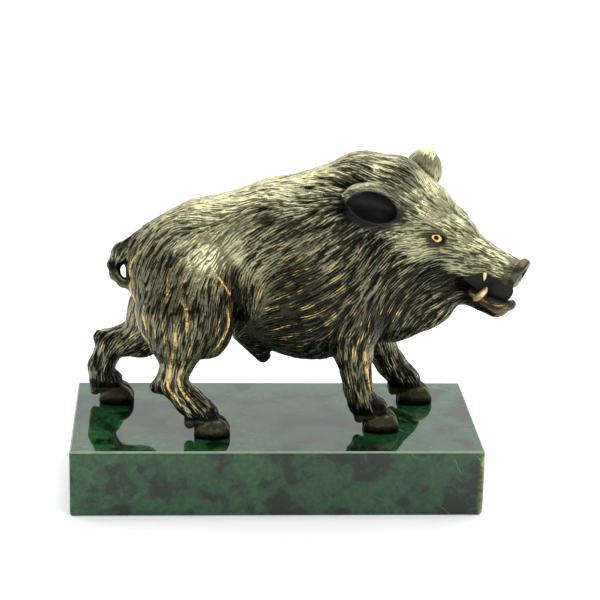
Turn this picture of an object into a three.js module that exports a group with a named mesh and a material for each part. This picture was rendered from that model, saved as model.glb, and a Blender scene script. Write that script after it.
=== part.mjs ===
// A cast bronze boar standing in mid-stride on a polished green stone plinth.
// Millimetres. The origin is the centre of the plinth's underside. The head points to +X, the side the head
// is turned to faces -Y, and +Z is up.

import * as THREE from "three";

// Plinth sizes.
const plinthLength = 150;
const plinthDepth = 72;
const plinthHeight = 25;
const plinthChamfer = 1.1;
const plinthCornerRadius = 1.6;
const plinthCornerSteps = 5;

// Boar size and seat. The figure is drawn once at drawnLength, tail curl to snout, and scaled as a whole.
const drawnLength = 159;
const boarLength = 159;
const hoofClearance = 0.3;

// Fineness of the casting's faceted skin, in drawn millimetres and in triangles.
const cellSize = 1.2;
const skinTriangles = 9000;

// Directions the head is turned, in degrees: toward -Y, nose down, and tipped to the far side.
const headYaw = -29;
const headPitch = 16;
const headRoll = 8;
const headPlace = [52, -3, 77.7];

// Small vector helpers on plain arrays.
function add(a, b) {
  return [a[0] + b[0], a[1] + b[1], a[2] + b[2]];
}

function sub(a, b) {
  return [a[0] - b[0], a[1] - b[1], a[2] - b[2]];
}

function scale(a, s) {
  return [a[0] * s, a[1] * s, a[2] * s];
}

function dot(a, b) {
  return a[0] * b[0] + a[1] * b[1] + a[2] * b[2];
}

function cross(a, b) {
  return [a[1] * b[2] - a[2] * b[1], a[2] * b[0] - a[0] * b[2], a[0] * b[1] - a[1] * b[0]];
}

function unit(a) {
  return scale(a, 1 / Math.max(Math.sqrt(dot(a, a)), 1e-9));
}

// The three axes of a frame turned by yaw about Z, then pitch about Y (positive is nose down), then roll
// about X.
function turned(yaw, pitch, roll) {
  const m = new THREE.Matrix4().makeRotationFromEuler(new THREE.Euler(
    THREE.MathUtils.degToRad(roll),
    THREE.MathUtils.degToRad(pitch),
    THREE.MathUtils.degToRad(yaw),
    "ZYX",
  ));
  const e = m.elements;
  return [[e[0], e[1], e[2]], [e[4], e[5], e[6]], [e[8], e[9], e[10]]];
}

// Smooth union and smooth cut of two distances, rounding the seam over about k.
function smoothMin(a, b, k) {
  const h = Math.max(k - Math.abs(a - b), 0) / k;
  return Math.min(a, b) - h * h * k * 0.25;
}

function smoothMax(a, b, k) {
  return -smoothMin(-a, -b, k);
}

// A mass is a distance function with a ball that holds it, so that far masses can be passed over.
// A ball stretched to three radii along its own axes.
function ball(centre, radii, axes = [[1, 0, 0], [0, 1, 0], [0, 0, 1]]) {
  const [cx, cy, cz] = centre;
  const [ra, rb, rc] = radii;
  const [ax, ay, az] = axes[0];
  const [bx, by, bz] = axes[1];
  const [ex, ey, ez] = axes[2];
  const distance = (x, y, z) => {
    const qx = x - cx;
    const qy = y - cy;
    const qz = z - cz;
    const u = (qx * ax + qy * ay + qz * az) / ra;
    const v = (qx * bx + qy * by + qz * bz) / rb;
    const w = (qx * ex + qy * ey + qz * ez) / rc;
    const near = Math.sqrt(u * u + v * v + w * w);
    const slope = Math.sqrt(u * u / (ra * ra) + v * v / (rb * rb) + w * w / (rc * rc));
    return near * (near - 1) / Math.max(slope, 1e-6);
  };
  return { distance, centre, reach: Math.max(ra, rb, rc) };
}

// A tapering bone with round ends. Its thickness across the side direction is multiplied by flat.
function bone(from, to, fromRadius, toRadius, flat = 1, side = [0, 1, 0]) {
  const along = sub(to, from);
  const length = Math.sqrt(dot(along, along));
  const [wx, wy, wz] = scale(along, 1 / length);
  const [sx, sy, sz] = unit(sub(side, scale([wx, wy, wz], dot(side, [wx, wy, wz]))));
  const squeeze = 1 / flat - 1;
  const shrink = Math.min(1, (1 + flat) / 2);
  const [fx, fy, fz] = from;
  const distance = (x, y, z) => {
    let qx = x - fx;
    let qy = y - fy;
    let qz = z - fz;
    if (flat !== 1) {
      const t = (qx * sx + qy * sy + qz * sz) * squeeze;
      qx += t * sx;
      qy += t * sy;
      qz += t * sz;
    }
    const h = Math.min(Math.max((qx * wx + qy * wy + qz * wz) / length, 0), 1);
    const dx = qx - h * along[0];
    const dy = qy - h * along[1];
    const dz = qz - h * along[2];
    return (Math.sqrt(dx * dx + dy * dy + dz * dz) - (fromRadius + (toRadius - fromRadius) * h)) * shrink;
  };
  const thickest = Math.max(fromRadius, toRadius) * Math.max(1, flat);
  return { distance, centre: scale(add(from, to), 0.5), reach: length / 2 + thickest };
}

// The half of space behind a plane, used to trim other masses.
function behind(point, normal) {
  const [nx, ny, nz] = unit(normal);
  const offset = dot(point, [nx, ny, nz]);
  return { distance: (x, y, z) => x * nx + y * ny + z * nz - offset, centre: point, reach: Infinity };
}

// Masses worked one after another: each is joined on, cut away, or kept only where it overlaps.
function worked(steps) {
  const distance = (x, y, z) => {
    let d = Infinity;
    for (const step of steps) {
      const next = step.mass.distance(x, y, z);
      if (step.how === "join") {
        d = d === Infinity ? next : smoothMin(d, next, step.soft);
      } else if (step.how === "cut") {
        d = smoothMax(d, -next, step.soft);
      } else {
        d = smoothMax(d, next, step.soft);
      }
    }
    return d;
  };
  const joined = steps.filter((step) => step.how === "join");
  const sum = joined.reduce((total, step) => add(total, step.mass.centre), [0, 0, 0]);
  const centre = scale(sum, 1 / joined.length);
  const reaches = joined.map((step) => {
    const away = sub(step.mass.centre, centre);
    return Math.sqrt(dot(away, away)) + step.mass.reach;
  });
  return { distance, centre, reach: Math.max(...reaches) + 1 };
}

function join(mass, soft) {
  return { how: "join", mass, soft };
}

function cut(mass, soft) {
  return { how: "cut", mass, soft };
}

function keep(mass, soft) {
  return { how: "keep", mass, soft };
}

// Bones end to end through joints written as [x, y, z, radius].
function limb(joints, soft) {
  const steps = [];
  for (let i = 1; i < joints.length; i += 1) {
    const [a, b] = [joints[i - 1], joints[i]];
    steps.push(join(bone(a.slice(0, 3), b.slice(0, 3), a[3], b[3]), soft));
  }
  return steps;
}

// The trunk, from the rump to the throat. The ground is z = 0 here, and the plinth's centre is x = y = 0.
function trunk() {
  return [
    join(ball([10.5, 0, 55.4], [32.5, 20.5, 30.2]), 7),
    join(ball([16, 0, 57.7], [28, 21.5, 32]), 8),
    join(ball([29, 0, 65.7], [22, 18, 28.5], turned(0, 8, 0)), 8),
    join(ball([-32, 0, 55.7], [21, 18, 21.5], turned(0, -18, 0)), 8),
    join(ball([-39.5, 0, 55.7], [14, 14, 14], turned(0, -25, 0)), 6),
    join(ball([42, -1, 45.8], [15, 12.5, 15.5], turned(0, 20, 0)), 7),
    join(ball([53.5, -4.3, 50.4], [13, 8.5, 13.4], turned(-20, 10, 0)), 6),
    join(ball([44, -2.5, 68.7], [17, 13.5, 19], turned(-20, 14, 0)), 8),
    join(worked(limb([
      [-39, 0, 61.9, 11],
      [-25, 0, 70.1, 12.6],
      [0, 0, 75, 14.5],
      [18, 0, 79.7, 13],
      [31, 0, 89, 11],
      [42, -1, 88.3, 11],
      [50, -3, 82.2, 9.5],
    ], 3)), 8),
    join(bone([-9.5, -1, 34.2], [-4.4, -1.5, 24], 6.5, 2.4), 3),
  ];
}

// The tail leaves the rump, hugs it, and curls forward under itself onto the thigh.
function tail() {
  return worked(limb([
    [-41, 0, 70.7, 4.8],
    [-50, 0, 67.3, 3.6],
    [-56.3, 0, 63.2, 3.3],
    [-59.4, -0.5, 58.7, 2.4],
    [-59.2, -2, 55.4, 1.9],
    [-56.5, -4, 53, 1.6],
    [-52.5, -6, 51.9, 1.5],
  ], 1));
}

// A cloven hoof: two claws side by side, flat on the ground.
function hoof(x, y) {
  const tilt = turned(0, 6, 0);
  const claws = [-1, 1].map((side) => {
    const middle = [x + 0.2, y + 2.75 * side, 0.8];
    return join(ball(middle, [6.6, 3.3, 6.6], tilt), 0.5);
  });
  return worked([...claws, keep(behind([x, y, 0], [0, 0, -1]), 0.4)]);
}

// A leg from its joints down: the coat ends in a cuff over the hoof, with the dewclaws behind it.
function leg(joints, x, y) {
  const last = joints[joints.length - 1];
  const cuff = bone(last.slice(0, 3), [x - 2.4, y, 6.8], last[3], 5.1);
  const dewclaws = [-1, 1].map((side) => {
    const claw = bone([x - 7.6, y + 1.9 * side, 8], [x - 8, y + 2.1 * side, 4.9], 2.5, 2);
    return join(claw, 1);
  });
  const cuffEdge = keep(behind([x + 4.2, y, 5.8], [0.18, 0, -0.98]), 0.6);
  const coat = worked([...limb(joints, 2), join(cuff, 2), cuffEdge]);
  return worked([join(coat, 1), ...dewclaws, join(hoof(x, y), 0.3)]);
}

function legs() {
  const hock = (from, to) => join(bone(from, to, 3.8, 2), 2);
  return [
    join(leg([
      [-32, -7, 54.7, 17],
      [-35.3, -12, 42.7, 15],
      [-35.8, -14.8, 35.2, 10.2],
      [-36.2, -16.6, 27.5, 5.4],
      [-38.5, -17, 19.7, 4.6],
      [-32, -18, 12.2, 4.5],
      [-27.4, -18.5, 8, 4.6],
    ], -23.8, -19), 4),
    join(ball([-25.5, -13, 43], [9.5, 8, 15.5]), 2.5),
    hock([-38.5, -17, 19.7], [-44, -17, 17.5]),
    join(leg([
      [-34, 9, 50.7, 16],
      [-42, 12, 36.7, 12.5],
      [-50, 14.5, 25.9, 7],
      [-61, 16, 22.9, 4.8],
      [-65.2, 16, 13.4, 4.2],
      [-64.4, 16, 7.6, 4.4],
    ], -59.4, 16), 4),
    hock([-61, 16, 22.7], [-65.8, 16, 25.7]),
    join(leg([
      [26, -9, 54.7, 13],
      [27.3, -13, 39.7, 9],
      [27.8, -13.5, 29.7, 6.4],
      [28.9, -13.5, 22.2, 4.9],
      [30, -13.3, 15.7, 4.5],
      [31.9, -13, 9.6, 4.9],
    ], 38.6, -13.2), 4),
    join(leg([
      [32, 9, 54.7, 13],
      [35.5, 13, 35.7, 8.5],
      [39.3, 15, 24.2, 5.7],
      [45.2, 16, 14.7, 4.9],
      [49.6, 16, 9.6, 4.8],
    ], 54.2, 16), 4),
  ];
}

// The head, drawn in its own frame: forward, to its left, and up.
const headAxes = turned(headYaw, headPitch, headRoll);

function onHead(point) {
  const [forward, left, up] = point;
  const level = add(scale(headAxes[0], forward), scale(headAxes[1], left));
  return add(headPlace, add(level, scale(headAxes[2], up)));
}

function headBall(centre, radii, pitch = 0) {
  const own = turned(0, pitch, 0);
  const axes = own.map((way) => sub(onHead(way), headPlace));
  return ball(onHead(centre), radii, axes);
}

function headBone(from, to, fromRadius, toRadius, flat = 1) {
  return bone(onHead(from), onHead(to), fromRadius, toRadius, flat, headAxes[1]);
}

// The skull, cheeks, muzzle and jaw, with the open mouth cut right across.
function skull() {
  const cheeks = [-1, 1].flatMap((side) => [
    join(headBall([4, 4.6 * side, -8], [15, 6.2, 10.5]), 5),
    join(headBone([12, 3.4 * side, -9], [25, 2.6 * side, -9], 6.2, 3.4), 3),
    join(headBone([2, 8.6 * side, 5.2], [13, 6.8 * side, 3.8], 2.6, 1.9), 2),
  ]);
  return [
    join(headBall([-4, 0, 1], [15, 11, 12.5]), 5),
    join(headBone([-2, 0, 2], [14, 0, -0.6], 9.5, 7.6), 5),
    join(headBone([12, 0, -2.8], [24, 0, -4.2], 7.6, 5.7), 4),
    join(headBone([24, 0, -4.2], [38.8, 0, -4], 5.7, 4.7), 3),
    ...cheeks,
    join(headBone([33, 0, -7], [40, 0, -8.4], 2.8, 2, 1.4), 1.5),
    join(headBone([8, 0, -16], [24, 0, -20], 7.5, 3.6), 4),
    join(headBone([22, 0, -20], [38, 0, -20.6], 3.6, 3, 1.5), 2),
    join(headBone([37, 0, -20.2], [41.4, 0, -17.6], 3, 1.9, 1.5), 1.5),
    cut(headBone([25, 0, -13.8], [46, 0, -13.4], 2.6, 2.5, 4), 0.8),
    cut(headBall([31, 0, -12], [5, 12, 4.6]), 1.2),
    cut(headBall([35, 0, -16.5], [6.2, 3.3, 3.2]), 0.8),
    join(headBone([20, 0, -13.5], [36.5, 0, -13], 5.6, 4.6, 0.26), 0.6),
  ];
}

// Tusks, nose disc with its nostrils, and the eyes under their brows.
function face() {
  const sides = [-1, 1].flatMap((side) => [
    join(headBone([29.8, 4.2 * side, -18.4], [31.6, 5.2 * side, -14.8], 1.5, 1.35), 0.4),
    join(headBone([31.6, 5.2 * side, -14.8], [32, 5.4 * side, -12.4], 1.35, 0.8), 0.4),
    join(headBone([29.2, 4.4 * side, -5.4], [30.2, 5.2 * side, -9.4], 1.4, 0.8), 0.4),
    cut(headBone([40.4, 1.9 * side, -4.2], [45, 2 * side, -4.6], 1.1, 1.1), 0.4),
    cut(headBall([10.2, 9.4 * side, 0.8], [3.8, 2, 2.4]), 1),
    join(headBall([10.2, 7.6 * side, 0.5], [2.2, 2.2, 2]), 0.3),
  ]);
  const front = unit(sub(headAxes[0], scale(headAxes[2], 0.213)));
  const disc = worked([
    join(headBall([41, 0, -3.8], [5.6, 5.1, 5.7]), 1),
    keep(behind(onHead([42.5, 0, -3.8]), front), 0.9),
    keep(behind(onHead([39, 0, -3.8]), scale(front, -1)), 0.9),
  ]);
  return [
    join(disc, 0.4),
    cut(headBall([43.9, 0, -4.1], [2, 3.8, 4.3]), 0.6),
    ...sides,
  ];
}

// An ear like half a cup: a long bowl opening along its facing direction, with a rim of the given thickness.
// Its hollow is set down by drop, which thins the lower rim.
function ear(centre, length, facing, radii, rim, drop) {
  const along = unit(length);
  const open = unit(sub(facing, scale(along, dot(facing, along))));
  const axes = [along, cross(open, along), open];
  const lip = add(centre, scale(open, 1));
  const inner = [radii[0] - rim, radii[1] - rim, radii[2] - 0.8 * rim];
  const low = sub(lip, scale(axes[1], drop * Math.sign(axes[1][2])));
  const shell = worked([join(ball(centre, radii, axes), 1), keep(behind(lip, open), 1.6)]);
  return [join(shell, 1.2), cut(ball(low, inner, axes), 1.2)];
}

function ears() {
  return [
    ...ear([32.3, -17, 86.9], [-0.857, -0.38, 0.33], [0.3, -0.95, -0.08], [11.4, 6.8, 7.2], 2, 0.3),
    join(bone([27, -18.6, 91.3], [22.2, -20.8, 90.4], 1.8, 1), 1.4),
    ...ear([54, 11, 92.2], [0.1, 0, 1], [0.35, 0.9, 0.1], [8.3, 6.7, 4.8], 2, 0),
  ];
}

// The whole bare figure, before its coat.
function figure() {
  const head = worked([...skull(), ...face()]);
  return [...trunk(), join(head, 5), ...legs(), join(tail(), 2), ...ears()];
}

// The lie of the coat: at each place the hair points this way, root to tip. It is the same on both flanks.
const layOfHair = [
  { at: [-30, 6, 84], way: [-0.9, 0, 0.25] },
  { at: [0, 6, 92], way: [-0.86, 0, 0.42] },
  { at: [26, 7, 98], way: [-0.8, 0, 0.55] },
  { at: [42, 7, 94], way: [-0.86, 0, 0.4] },
  { at: [-5, 19, 72], way: [-0.84, 0.1, -0.5] },
  { at: [18, 20, 74], way: [-0.8, 0.1, -0.55] },
  { at: [4, 20, 45], way: [-0.86, 0, -0.4] },
  { at: [32, 16, 66], way: [-0.62, 0.1, -0.75] },
  { at: [34, 14, 44], way: [-0.4, 0, -0.9] },
  { at: [50, 10, 58], way: [-0.55, 0.1, -0.8] },
  { at: [60, 2, 46], way: [-0.2, 0, -0.95] },
  { at: [58, 10, 80], way: [-0.85, 0.3, 0.1] },
  { at: [74, 8, 70], way: [-0.9, 0.2, 0.25] },
  { at: [-24, 18, 68], way: [-0.62, 0.1, -0.75] },
  { at: [-26, 20, 48], way: [-0.12, 0.1, -1] },
  { at: [-44, 14, 58], way: [-0.3, 0.1, -1] },
  { at: [-52, 2, 66], way: [-0.45, 0.1, -0.9] },
  { at: [-40, 18, 34], way: [-0.1, 0, -1] },
  { at: [-16, 18, 52], way: [-0.2, 0.1, -1] },
];

// Where the coat is carved: joints of each run, how many locks it has, and their length, width and lift.
const coatRuns = [
  {
    joints: [[-44, 0, 60], [-20, 0, 60], [10, 0, 62], [40, 0, 66]],
    locks: 280,
    length: 13,
    width: 2.4,
    lift: 0.8,
  },
  {
    joints: [[40, 0, 62], [52, -3, 66], [60, -6, 72]],
    locks: 64,
    length: 10,
    width: 2,
    lift: 0.65,
  },
  { joints: [[-34, -8, 46], [-36, -14, 30]], locks: 22, length: 11, width: 1.9, lift: 0.55 },
  { joints: [[-38, 9, 46], [-46, 13, 30]], locks: 18, length: 10, width: 1.9, lift: 0.55 },
  { joints: [[27, -12, 40], [29, -13.5, 24]], locks: 14, length: 9, width: 1.7, lift: 0.5 },
  { joints: [[35, 12, 36], [41, 15, 22]], locks: 12, length: 9, width: 1.7, lift: 0.5 },
];

// Places with no carved coat: the middle of each and how far it reaches.
const smoothPlaces = [
  { at: [31, -18, 87], reach: 11 },
  { at: [54, 11, 93], reach: 9 },
  { at: onHead([10, -8, 1]), reach: 5 },
  { at: onHead([10, 8, 1]), reach: 5 },
  { at: onHead([36, 0, -10]), reach: 17 },
  { at: [-58, -2, 58], reach: 9 },
];

// The fraction that an index turns into in a base, spreading a run of indices evenly from 0 to 1.
function spread(index, base) {
  let left = index;
  let share = 1 / base;
  let value = 0;
  while (left > 0) {
    value += (left % base) * share;
    left = Math.floor(left / base);
    share /= base;
  }
  return value;
}

function distanceTo(steps, p) {
  let d = Infinity;
  for (const step of steps) {
    const next = step.mass.distance(p[0], p[1], p[2]);
    if (step.how === "join") {
      d = d === Infinity ? next : smoothMin(d, next, step.soft);
    } else {
      d = smoothMax(d, -next, step.soft);
    }
  }
  return d;
}

function outward(steps, p) {
  const e = 0.4;
  return unit([
    distanceTo(steps, [p[0] + e, p[1], p[2]]) - distanceTo(steps, [p[0] - e, p[1], p[2]]),
    distanceTo(steps, [p[0], p[1] + e, p[2]]) - distanceTo(steps, [p[0], p[1] - e, p[2]]),
    distanceTo(steps, [p[0], p[1], p[2] + e]) - distanceTo(steps, [p[0], p[1], p[2] - e]),
  ]);
}

// The way the hair lies at a point, flattened onto the skin there.
function hairAt(p, normal) {
  let way = [0, 0, 0];
  for (const guide of layOfHair) {
    const away = sub([p[0], Math.abs(p[1]), p[2]], guide.at);
    const weight = 1 / (dot(away, away) + 4) ** 2;
    way = add(way, scale(guide.way, weight));
  }
  way = unit(way);
  if (p[1] < 0) {
    way[1] = -way[1];
  }
  return unit(sub(way, scale(normal, dot(way, normal))));
}

// The carved locks: tapering ridges laid on the skin from root to tip.
function coat(skin) {
  const locks = [];
  for (const run of coatRuns) {
    for (let i = 1; i <= run.locks; i += 1) {
      const along = spread(i, 2) * (run.joints.length - 1);
      const first = Math.min(Math.floor(along), run.joints.length - 2);
      const [from, to] = [run.joints[first], run.joints[first + 1]];
      const middle = add(from, scale(sub(to, from), along - first));
      const axis = unit(sub(to, from));
      const across = unit(cross(axis, [0, 0, 1]));
      const up = cross(across, axis);
      const turn = spread(i, 3) * 2 * Math.PI;
      const ray = add(scale(across, Math.cos(turn)), scale(up, Math.sin(turn)));
      let far = 60;
      let d = 1;
      for (let k = 0; k < 60 && d > 0.02; k += 1) {
        d = distanceTo(skin, add(middle, scale(ray, far)));
        far -= 0.8 * d;
      }
      const root = add(middle, scale(ray, far));
      const rootOut = outward(skin, root);
      const reach = run.length * (0.75 + 0.5 * spread(i, 5));
      let tip = add(root, scale(hairAt(root, rootOut), reach));
      let tipOut = rootOut;
      for (let k = 0; k < 3; k += 1) {
        tipOut = outward(skin, tip);
        tip = sub(tip, scale(tipOut, distanceTo(skin, tip)));
      }
      const smooth = smoothPlaces.some((place) => [root, tip].some((end) => {
        const away = sub(end, place.at);
        return dot(away, away) < place.reach ** 2;
      }));
      if (far > 4 && far < 50 && !smooth && tip[2] > 14) {
        const sunkRoot = sub(root, scale(rootOut, 0.5 * run.width - 0.2 * run.lift));
        const sunkTip = sub(tip, scale(tipOut, 0.3 * run.width - run.lift));
        locks.push(join(bone(sunkRoot, sunkTip, run.width, 0.45 * run.width, 0.6, rootOut), 0.9));
      }
    }
  }
  return locks;
}

// Distances of a worked solid on a grid of points. Blocks far from the skin get one value, and in the others
// only the masses near the block are worked.
function sampled(steps, low, high, cell) {
  const counts = [0, 1, 2].map((axis) => Math.ceil((high[axis] - low[axis]) / cell) + 1);
  const [nx, ny, nz] = counts;
  const values = new Float32Array(nx * ny * nz);
  const block = 4;
  const half = Math.sqrt(3) * 0.5 * block * cell;
  for (let k0 = 0; k0 < nz; k0 += block) {
    for (let j0 = 0; j0 < ny; j0 += block) {
      for (let i0 = 0; i0 < nx; i0 += block) {
        const first = [i0 + 0.5 * block, j0 + 0.5 * block, k0 + 0.5 * block];
        const middle = add(low, scale(first, cell));
        const near = steps.filter((step) => {
          const away = sub(middle, step.mass.centre);
          return Math.sqrt(dot(away, away)) - step.mass.reach < 3.2 * half + step.soft;
        });
        const centreValue = near.length > 0 ? distanceTo(near, middle) : Infinity;
        const skip = Math.abs(centreValue) > 1.9 * half;
        const close = skip ? near : near.filter((step) => {
          const away = sub(middle, step.mass.centre);
          const least = Math.sqrt(dot(away, away)) - step.mass.reach - half;
          return least < Math.abs(centreValue) + 1.3 * half + step.soft;
        });
        for (let k = k0; k < Math.min(k0 + block, nz); k += 1) {
          for (let j = j0; j < Math.min(j0 + block, ny); j += 1) {
            for (let i = i0; i < Math.min(i0 + block, nx); i += 1) {
              const p = [low[0] + i * cell, low[1] + j * cell, low[2] + k * cell];
              const value = skip ? centreValue : distanceTo(close, p);
              values[(k * ny + j) * nx + i] = Math.max(-cell * 9, Math.min(cell * 9, value));
            }
          }
        }
      }
    }
  }
  return { values, counts, low, cell };
}

// A closed skin of triangles where the sampled distance is zero. Each cube of the grid is six tetrahedra,
// which always meet face to face.
function skinned({ values, counts, low, cell }) {
  const [nx, ny, nz] = counts;
  const eight = [0, 1, 2, 3, 4, 5, 6, 7];
  const corner = eight.map((bits) => (bits & 1) + (bits & 2 ? nx : 0) + (bits & 4 ? nx * ny : 0));
  const tetrahedra = [[0, 1, 3, 7], [0, 3, 2, 7], [0, 2, 6, 7], [0, 6, 4, 7], [0, 4, 5, 7], [0, 5, 1, 7]];
  const crossing = new Map();
  const points = [];
  const faces = [];
  const placeOf = (index) => [
    low[0] + (index % nx) * cell,
    low[1] + (Math.floor(index / nx) % ny) * cell,
    low[2] + Math.floor(index / (nx * ny)) * cell,
  ];
  const pointOn = (base, a, b) => {
    const [first, second] = a < b ? [a, b] : [b, a];
    const key = (base + corner[first]) * 8 + (second - first);
    if (!crossing.has(key)) {
      const va = values[base + corner[first]];
      const vb = values[base + corner[second]];
      const t = Math.min(Math.max(va / (va - vb), 0.08), 0.92);
      const from = placeOf(base + corner[first]);
      crossing.set(key, points.length);
      points.push(add(from, scale(sub(placeOf(base + corner[second]), from), t)));
    }
    return crossing.get(key);
  };
  const addFace = (a, b, c, outside) => {
    const n = cross(sub(points[b], points[a]), sub(points[c], points[a]));
    faces.push(dot(n, sub(outside, points[a])) > 0 ? [a, b, c] : [a, c, b]);
  };
  for (let k = 0; k < nz - 1; k += 1) {
    for (let j = 0; j < ny - 1; j += 1) {
      for (let i = 0; i < nx - 1; i += 1) {
        const base = (k * ny + j) * nx + i;
        const inside = corner.map((offset) => values[base + offset] < 0);
        const count = inside.filter(Boolean).length;
        if (count > 0 && count < 8) {
          for (const four of tetrahedra) {
            const ins = four.filter((c) => inside[c]);
            const outs = four.filter((c) => !inside[c]);
            if (ins.length === 1 || ins.length === 3) {
              const [lone, rest] = ins.length === 1 ? [ins[0], outs] : [outs[0], ins];
              const [a, b, c] = rest.map((other) => pointOn(base, lone, other));
              addFace(a, b, c, placeOf(base + corner[outs[0]]));
            } else if (ins.length === 2) {
              const a = pointOn(base, ins[0], outs[0]);
              const b = pointOn(base, ins[0], outs[1]);
              const c = pointOn(base, ins[1], outs[1]);
              const d = pointOn(base, ins[1], outs[0]);
              addFace(a, b, c, placeOf(base + corner[outs[1]]));
              addFace(a, c, d, placeOf(base + corner[outs[0]]));
            }
          }
        }
      }
    }
  }
  return { points, faces };
}

// A heap of edges, cheapest first.
class EdgeHeap {
  constructor() {
    this.items = [];
  }

  push(item) {
    const items = this.items;
    items.push(item);
    let i = items.length - 1;
    while (i > 0) {
      const up = (i - 1) >> 1;
      if (items[up].cost <= items[i].cost) {
        break;
      }
      [items[up], items[i]] = [items[i], items[up]];
      i = up;
    }
  }

  pop() {
    const items = this.items;
    const top = items[0];
    const last = items.pop();
    if (items.length > 0) {
      items[0] = last;
      let i = 0;
      for (;;) {
        const left = 2 * i + 1;
        if (left >= items.length) {
          break;
        }
        const right = left + 1;
        const least = right < items.length && items[right].cost < items[left].cost ? right : left;
        if (items[i].cost <= items[least].cost) {
          break;
        }
        [items[i], items[least]] = [items[least], items[i]];
        i = least;
      }
    }
    return top;
  }
}

// The same skin in fewer triangles: edges are shrunk to points, always the one that moves the skin least.
function thinned({ points, faces }, target) {
  const around = points.map(() => new Set());
  const error = points.map(() => new Float64Array(10));
  const stamp = new Int32Array(points.length);
  faces.forEach((face, index) => {
    const [a, b, c] = face.map((v) => points[v]);
    const n = cross(sub(b, a), sub(c, a));
    const size = Math.sqrt(dot(n, n));
    const [x, y, z] = scale(n, 1 / Math.max(size, 1e-12));
    const w = -dot([x, y, z], a);
    const plane = [x * x, x * y, x * z, x * w, y * y, y * z, y * w, z * z, z * w, w * w];
    for (const v of face) {
      around[v].add(index);
      for (let k = 0; k < 10; k += 1) {
        error[v][k] += plane[k] * (size + 1e-6);
      }
    }
  });
  const neighbours = (v) => {
    const found = new Set();
    for (const index of around[v]) {
      for (const other of faces[index]) {
        if (other !== v) {
          found.add(other);
        }
      }
    }
    return found;
  };
  const evaluate = (q, p) => {
    const [x, y, z] = p;
    return q[0] * x * x + 2 * q[1] * x * y + 2 * q[2] * x * z + 2 * q[3] * x + q[4] * y * y
      + 2 * q[5] * y * z + 2 * q[6] * y + q[7] * z * z + 2 * q[8] * z + q[9];
  };
  const propose = (a, b) => {
    const q = error[a].map((value, k) => value + error[b][k]);
    const pa = points[a];
    const pb = points[b];
    const middle = scale(add(pa, pb), 0.5);
    const hold = 1e-3 * (q[0] + q[4] + q[7]) + 1e-9;
    const m = [[q[0] + hold, q[1], q[2]], [q[1], q[4] + hold, q[5]], [q[2], q[5], q[7] + hold]];
    const r = [hold * middle[0] - q[3], hold * middle[1] - q[6], hold * middle[2] - q[8]];
    const c0 = cross(m[1], m[2]);
    const det = dot(m[0], c0);
    const c1 = cross(m[2], m[0]);
    const c2 = cross(m[0], m[1]);
    let best = middle;
    if (Math.abs(det) > 1e-18) {
      best = scale(add(add(scale(c0, r[0]), scale(c1, r[1])), scale(c2, r[2])), 1 / det);
      const away = sub(best, middle);
      const edge = sub(pa, pb);
      if (dot(away, away) > 4 * dot(edge, edge)) {
        best = middle;
      }
    }
    const edge = sub(pa, pb);
    return { cost: evaluate(q, best) + 2e-4 * dot(edge, edge), a, b, best, q, sa: stamp[a], sb: stamp[b] };
  };
  const heap = new EdgeHeap();
  faces.forEach(([a, b, c]) => {
    for (const [u, v] of [[a, b], [b, c], [c, a]]) {
      if (u < v) {
        heap.push(propose(u, v));
      }
    }
  });
  const alive = faces.map(() => true);
  let left = faces.length;
  const turnsOver = (v, gone, best) => {
    for (const index of around[v]) {
      const face = faces[index];
      if (!face.includes(gone)) {
        const before = face.map((u) => points[u]);
        const after = face.map((u) => (u === v ? best : points[u]));
        const n0 = cross(sub(before[1], before[0]), sub(before[2], before[0]));
        const n1 = cross(sub(after[1], after[0]), sub(after[2], after[0]));
        const size = Math.sqrt(dot(n0, n0) * dot(n1, n1));
        if (dot(n0, n1) < 0.25 * size || dot(n1, n1) < 1e-8) {
          return true;
        }
      }
    }
    return false;
  };
  while (left > target && heap.items.length > 0) {
    const edge = heap.pop();
    const { a, b, best } = edge;
    const fresh = stamp[a] === edge.sa && stamp[b] === edge.sb;
    if (fresh && around[a].size > 0 && around[b].size > 0) {
      const nearA = neighbours(a);
      const nearB = neighbours(b);
      const shared = [...nearA].filter((v) => nearB.has(v));
      const few = nearA.size + nearB.size - shared.length < 16 && shared.every((v) => around[v].size > 3);
      const sound = nearA.has(b) && shared.length === 2 && few;
      if (sound && !turnsOver(a, b, best) && !turnsOver(b, a, best)) {
        points[a] = best;
        error[a] = edge.q;
        for (const index of [...around[b]]) {
          const face = faces[index];
          if (face.includes(a)) {
            alive[index] = false;
            left -= 1;
            for (const v of face) {
              around[v].delete(index);
            }
          } else {
            face[face.indexOf(b)] = a;
            around[a].add(index);
          }
        }
        around[b].clear();
        stamp[a] += 1;
        stamp[b] += 1;
        for (const v of neighbours(a)) {
          heap.push(propose(Math.min(a, v), Math.max(a, v)));
        }
      }
    }
  }
  return { points, faces: faces.filter((_, index) => alive[index]) };
}

function geometryOf({ points, faces }) {
  const used = new Map();
  const positions = [];
  const indices = faces.flatMap((face) => face.map((v) => {
    if (!used.has(v)) {
      used.set(v, used.size);
      positions.push(...points[v]);
    }
    return used.get(v);
  }));
  const geometry = new THREE.BufferGeometry();
  geometry.setAttribute("position", new THREE.Float32BufferAttribute(positions, 3));
  geometry.setIndex(indices);
  geometry.computeVertexNormals();
  return geometry;
}

// The boar as one closed casting, standing just clear of the plinth.
function boarGeometry() {
  const bare = figure();
  const steps = [...bare, ...coat(bare)];
  const fine = skinned(sampled(steps, [-75, -36, -2.6], [95, 30, 106], cellSize));
  const skin = thinned(fine, skinTriangles);
  const grow = boarLength / drawnLength;
  const rise = plinthHeight + hoofClearance;
  const points = skin.points.map(([x, y, z]) => [grow * x, grow * y, rise + grow * Math.max(z, 0)]);
  return geometryOf({ points, faces: skin.faces });
}

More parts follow.
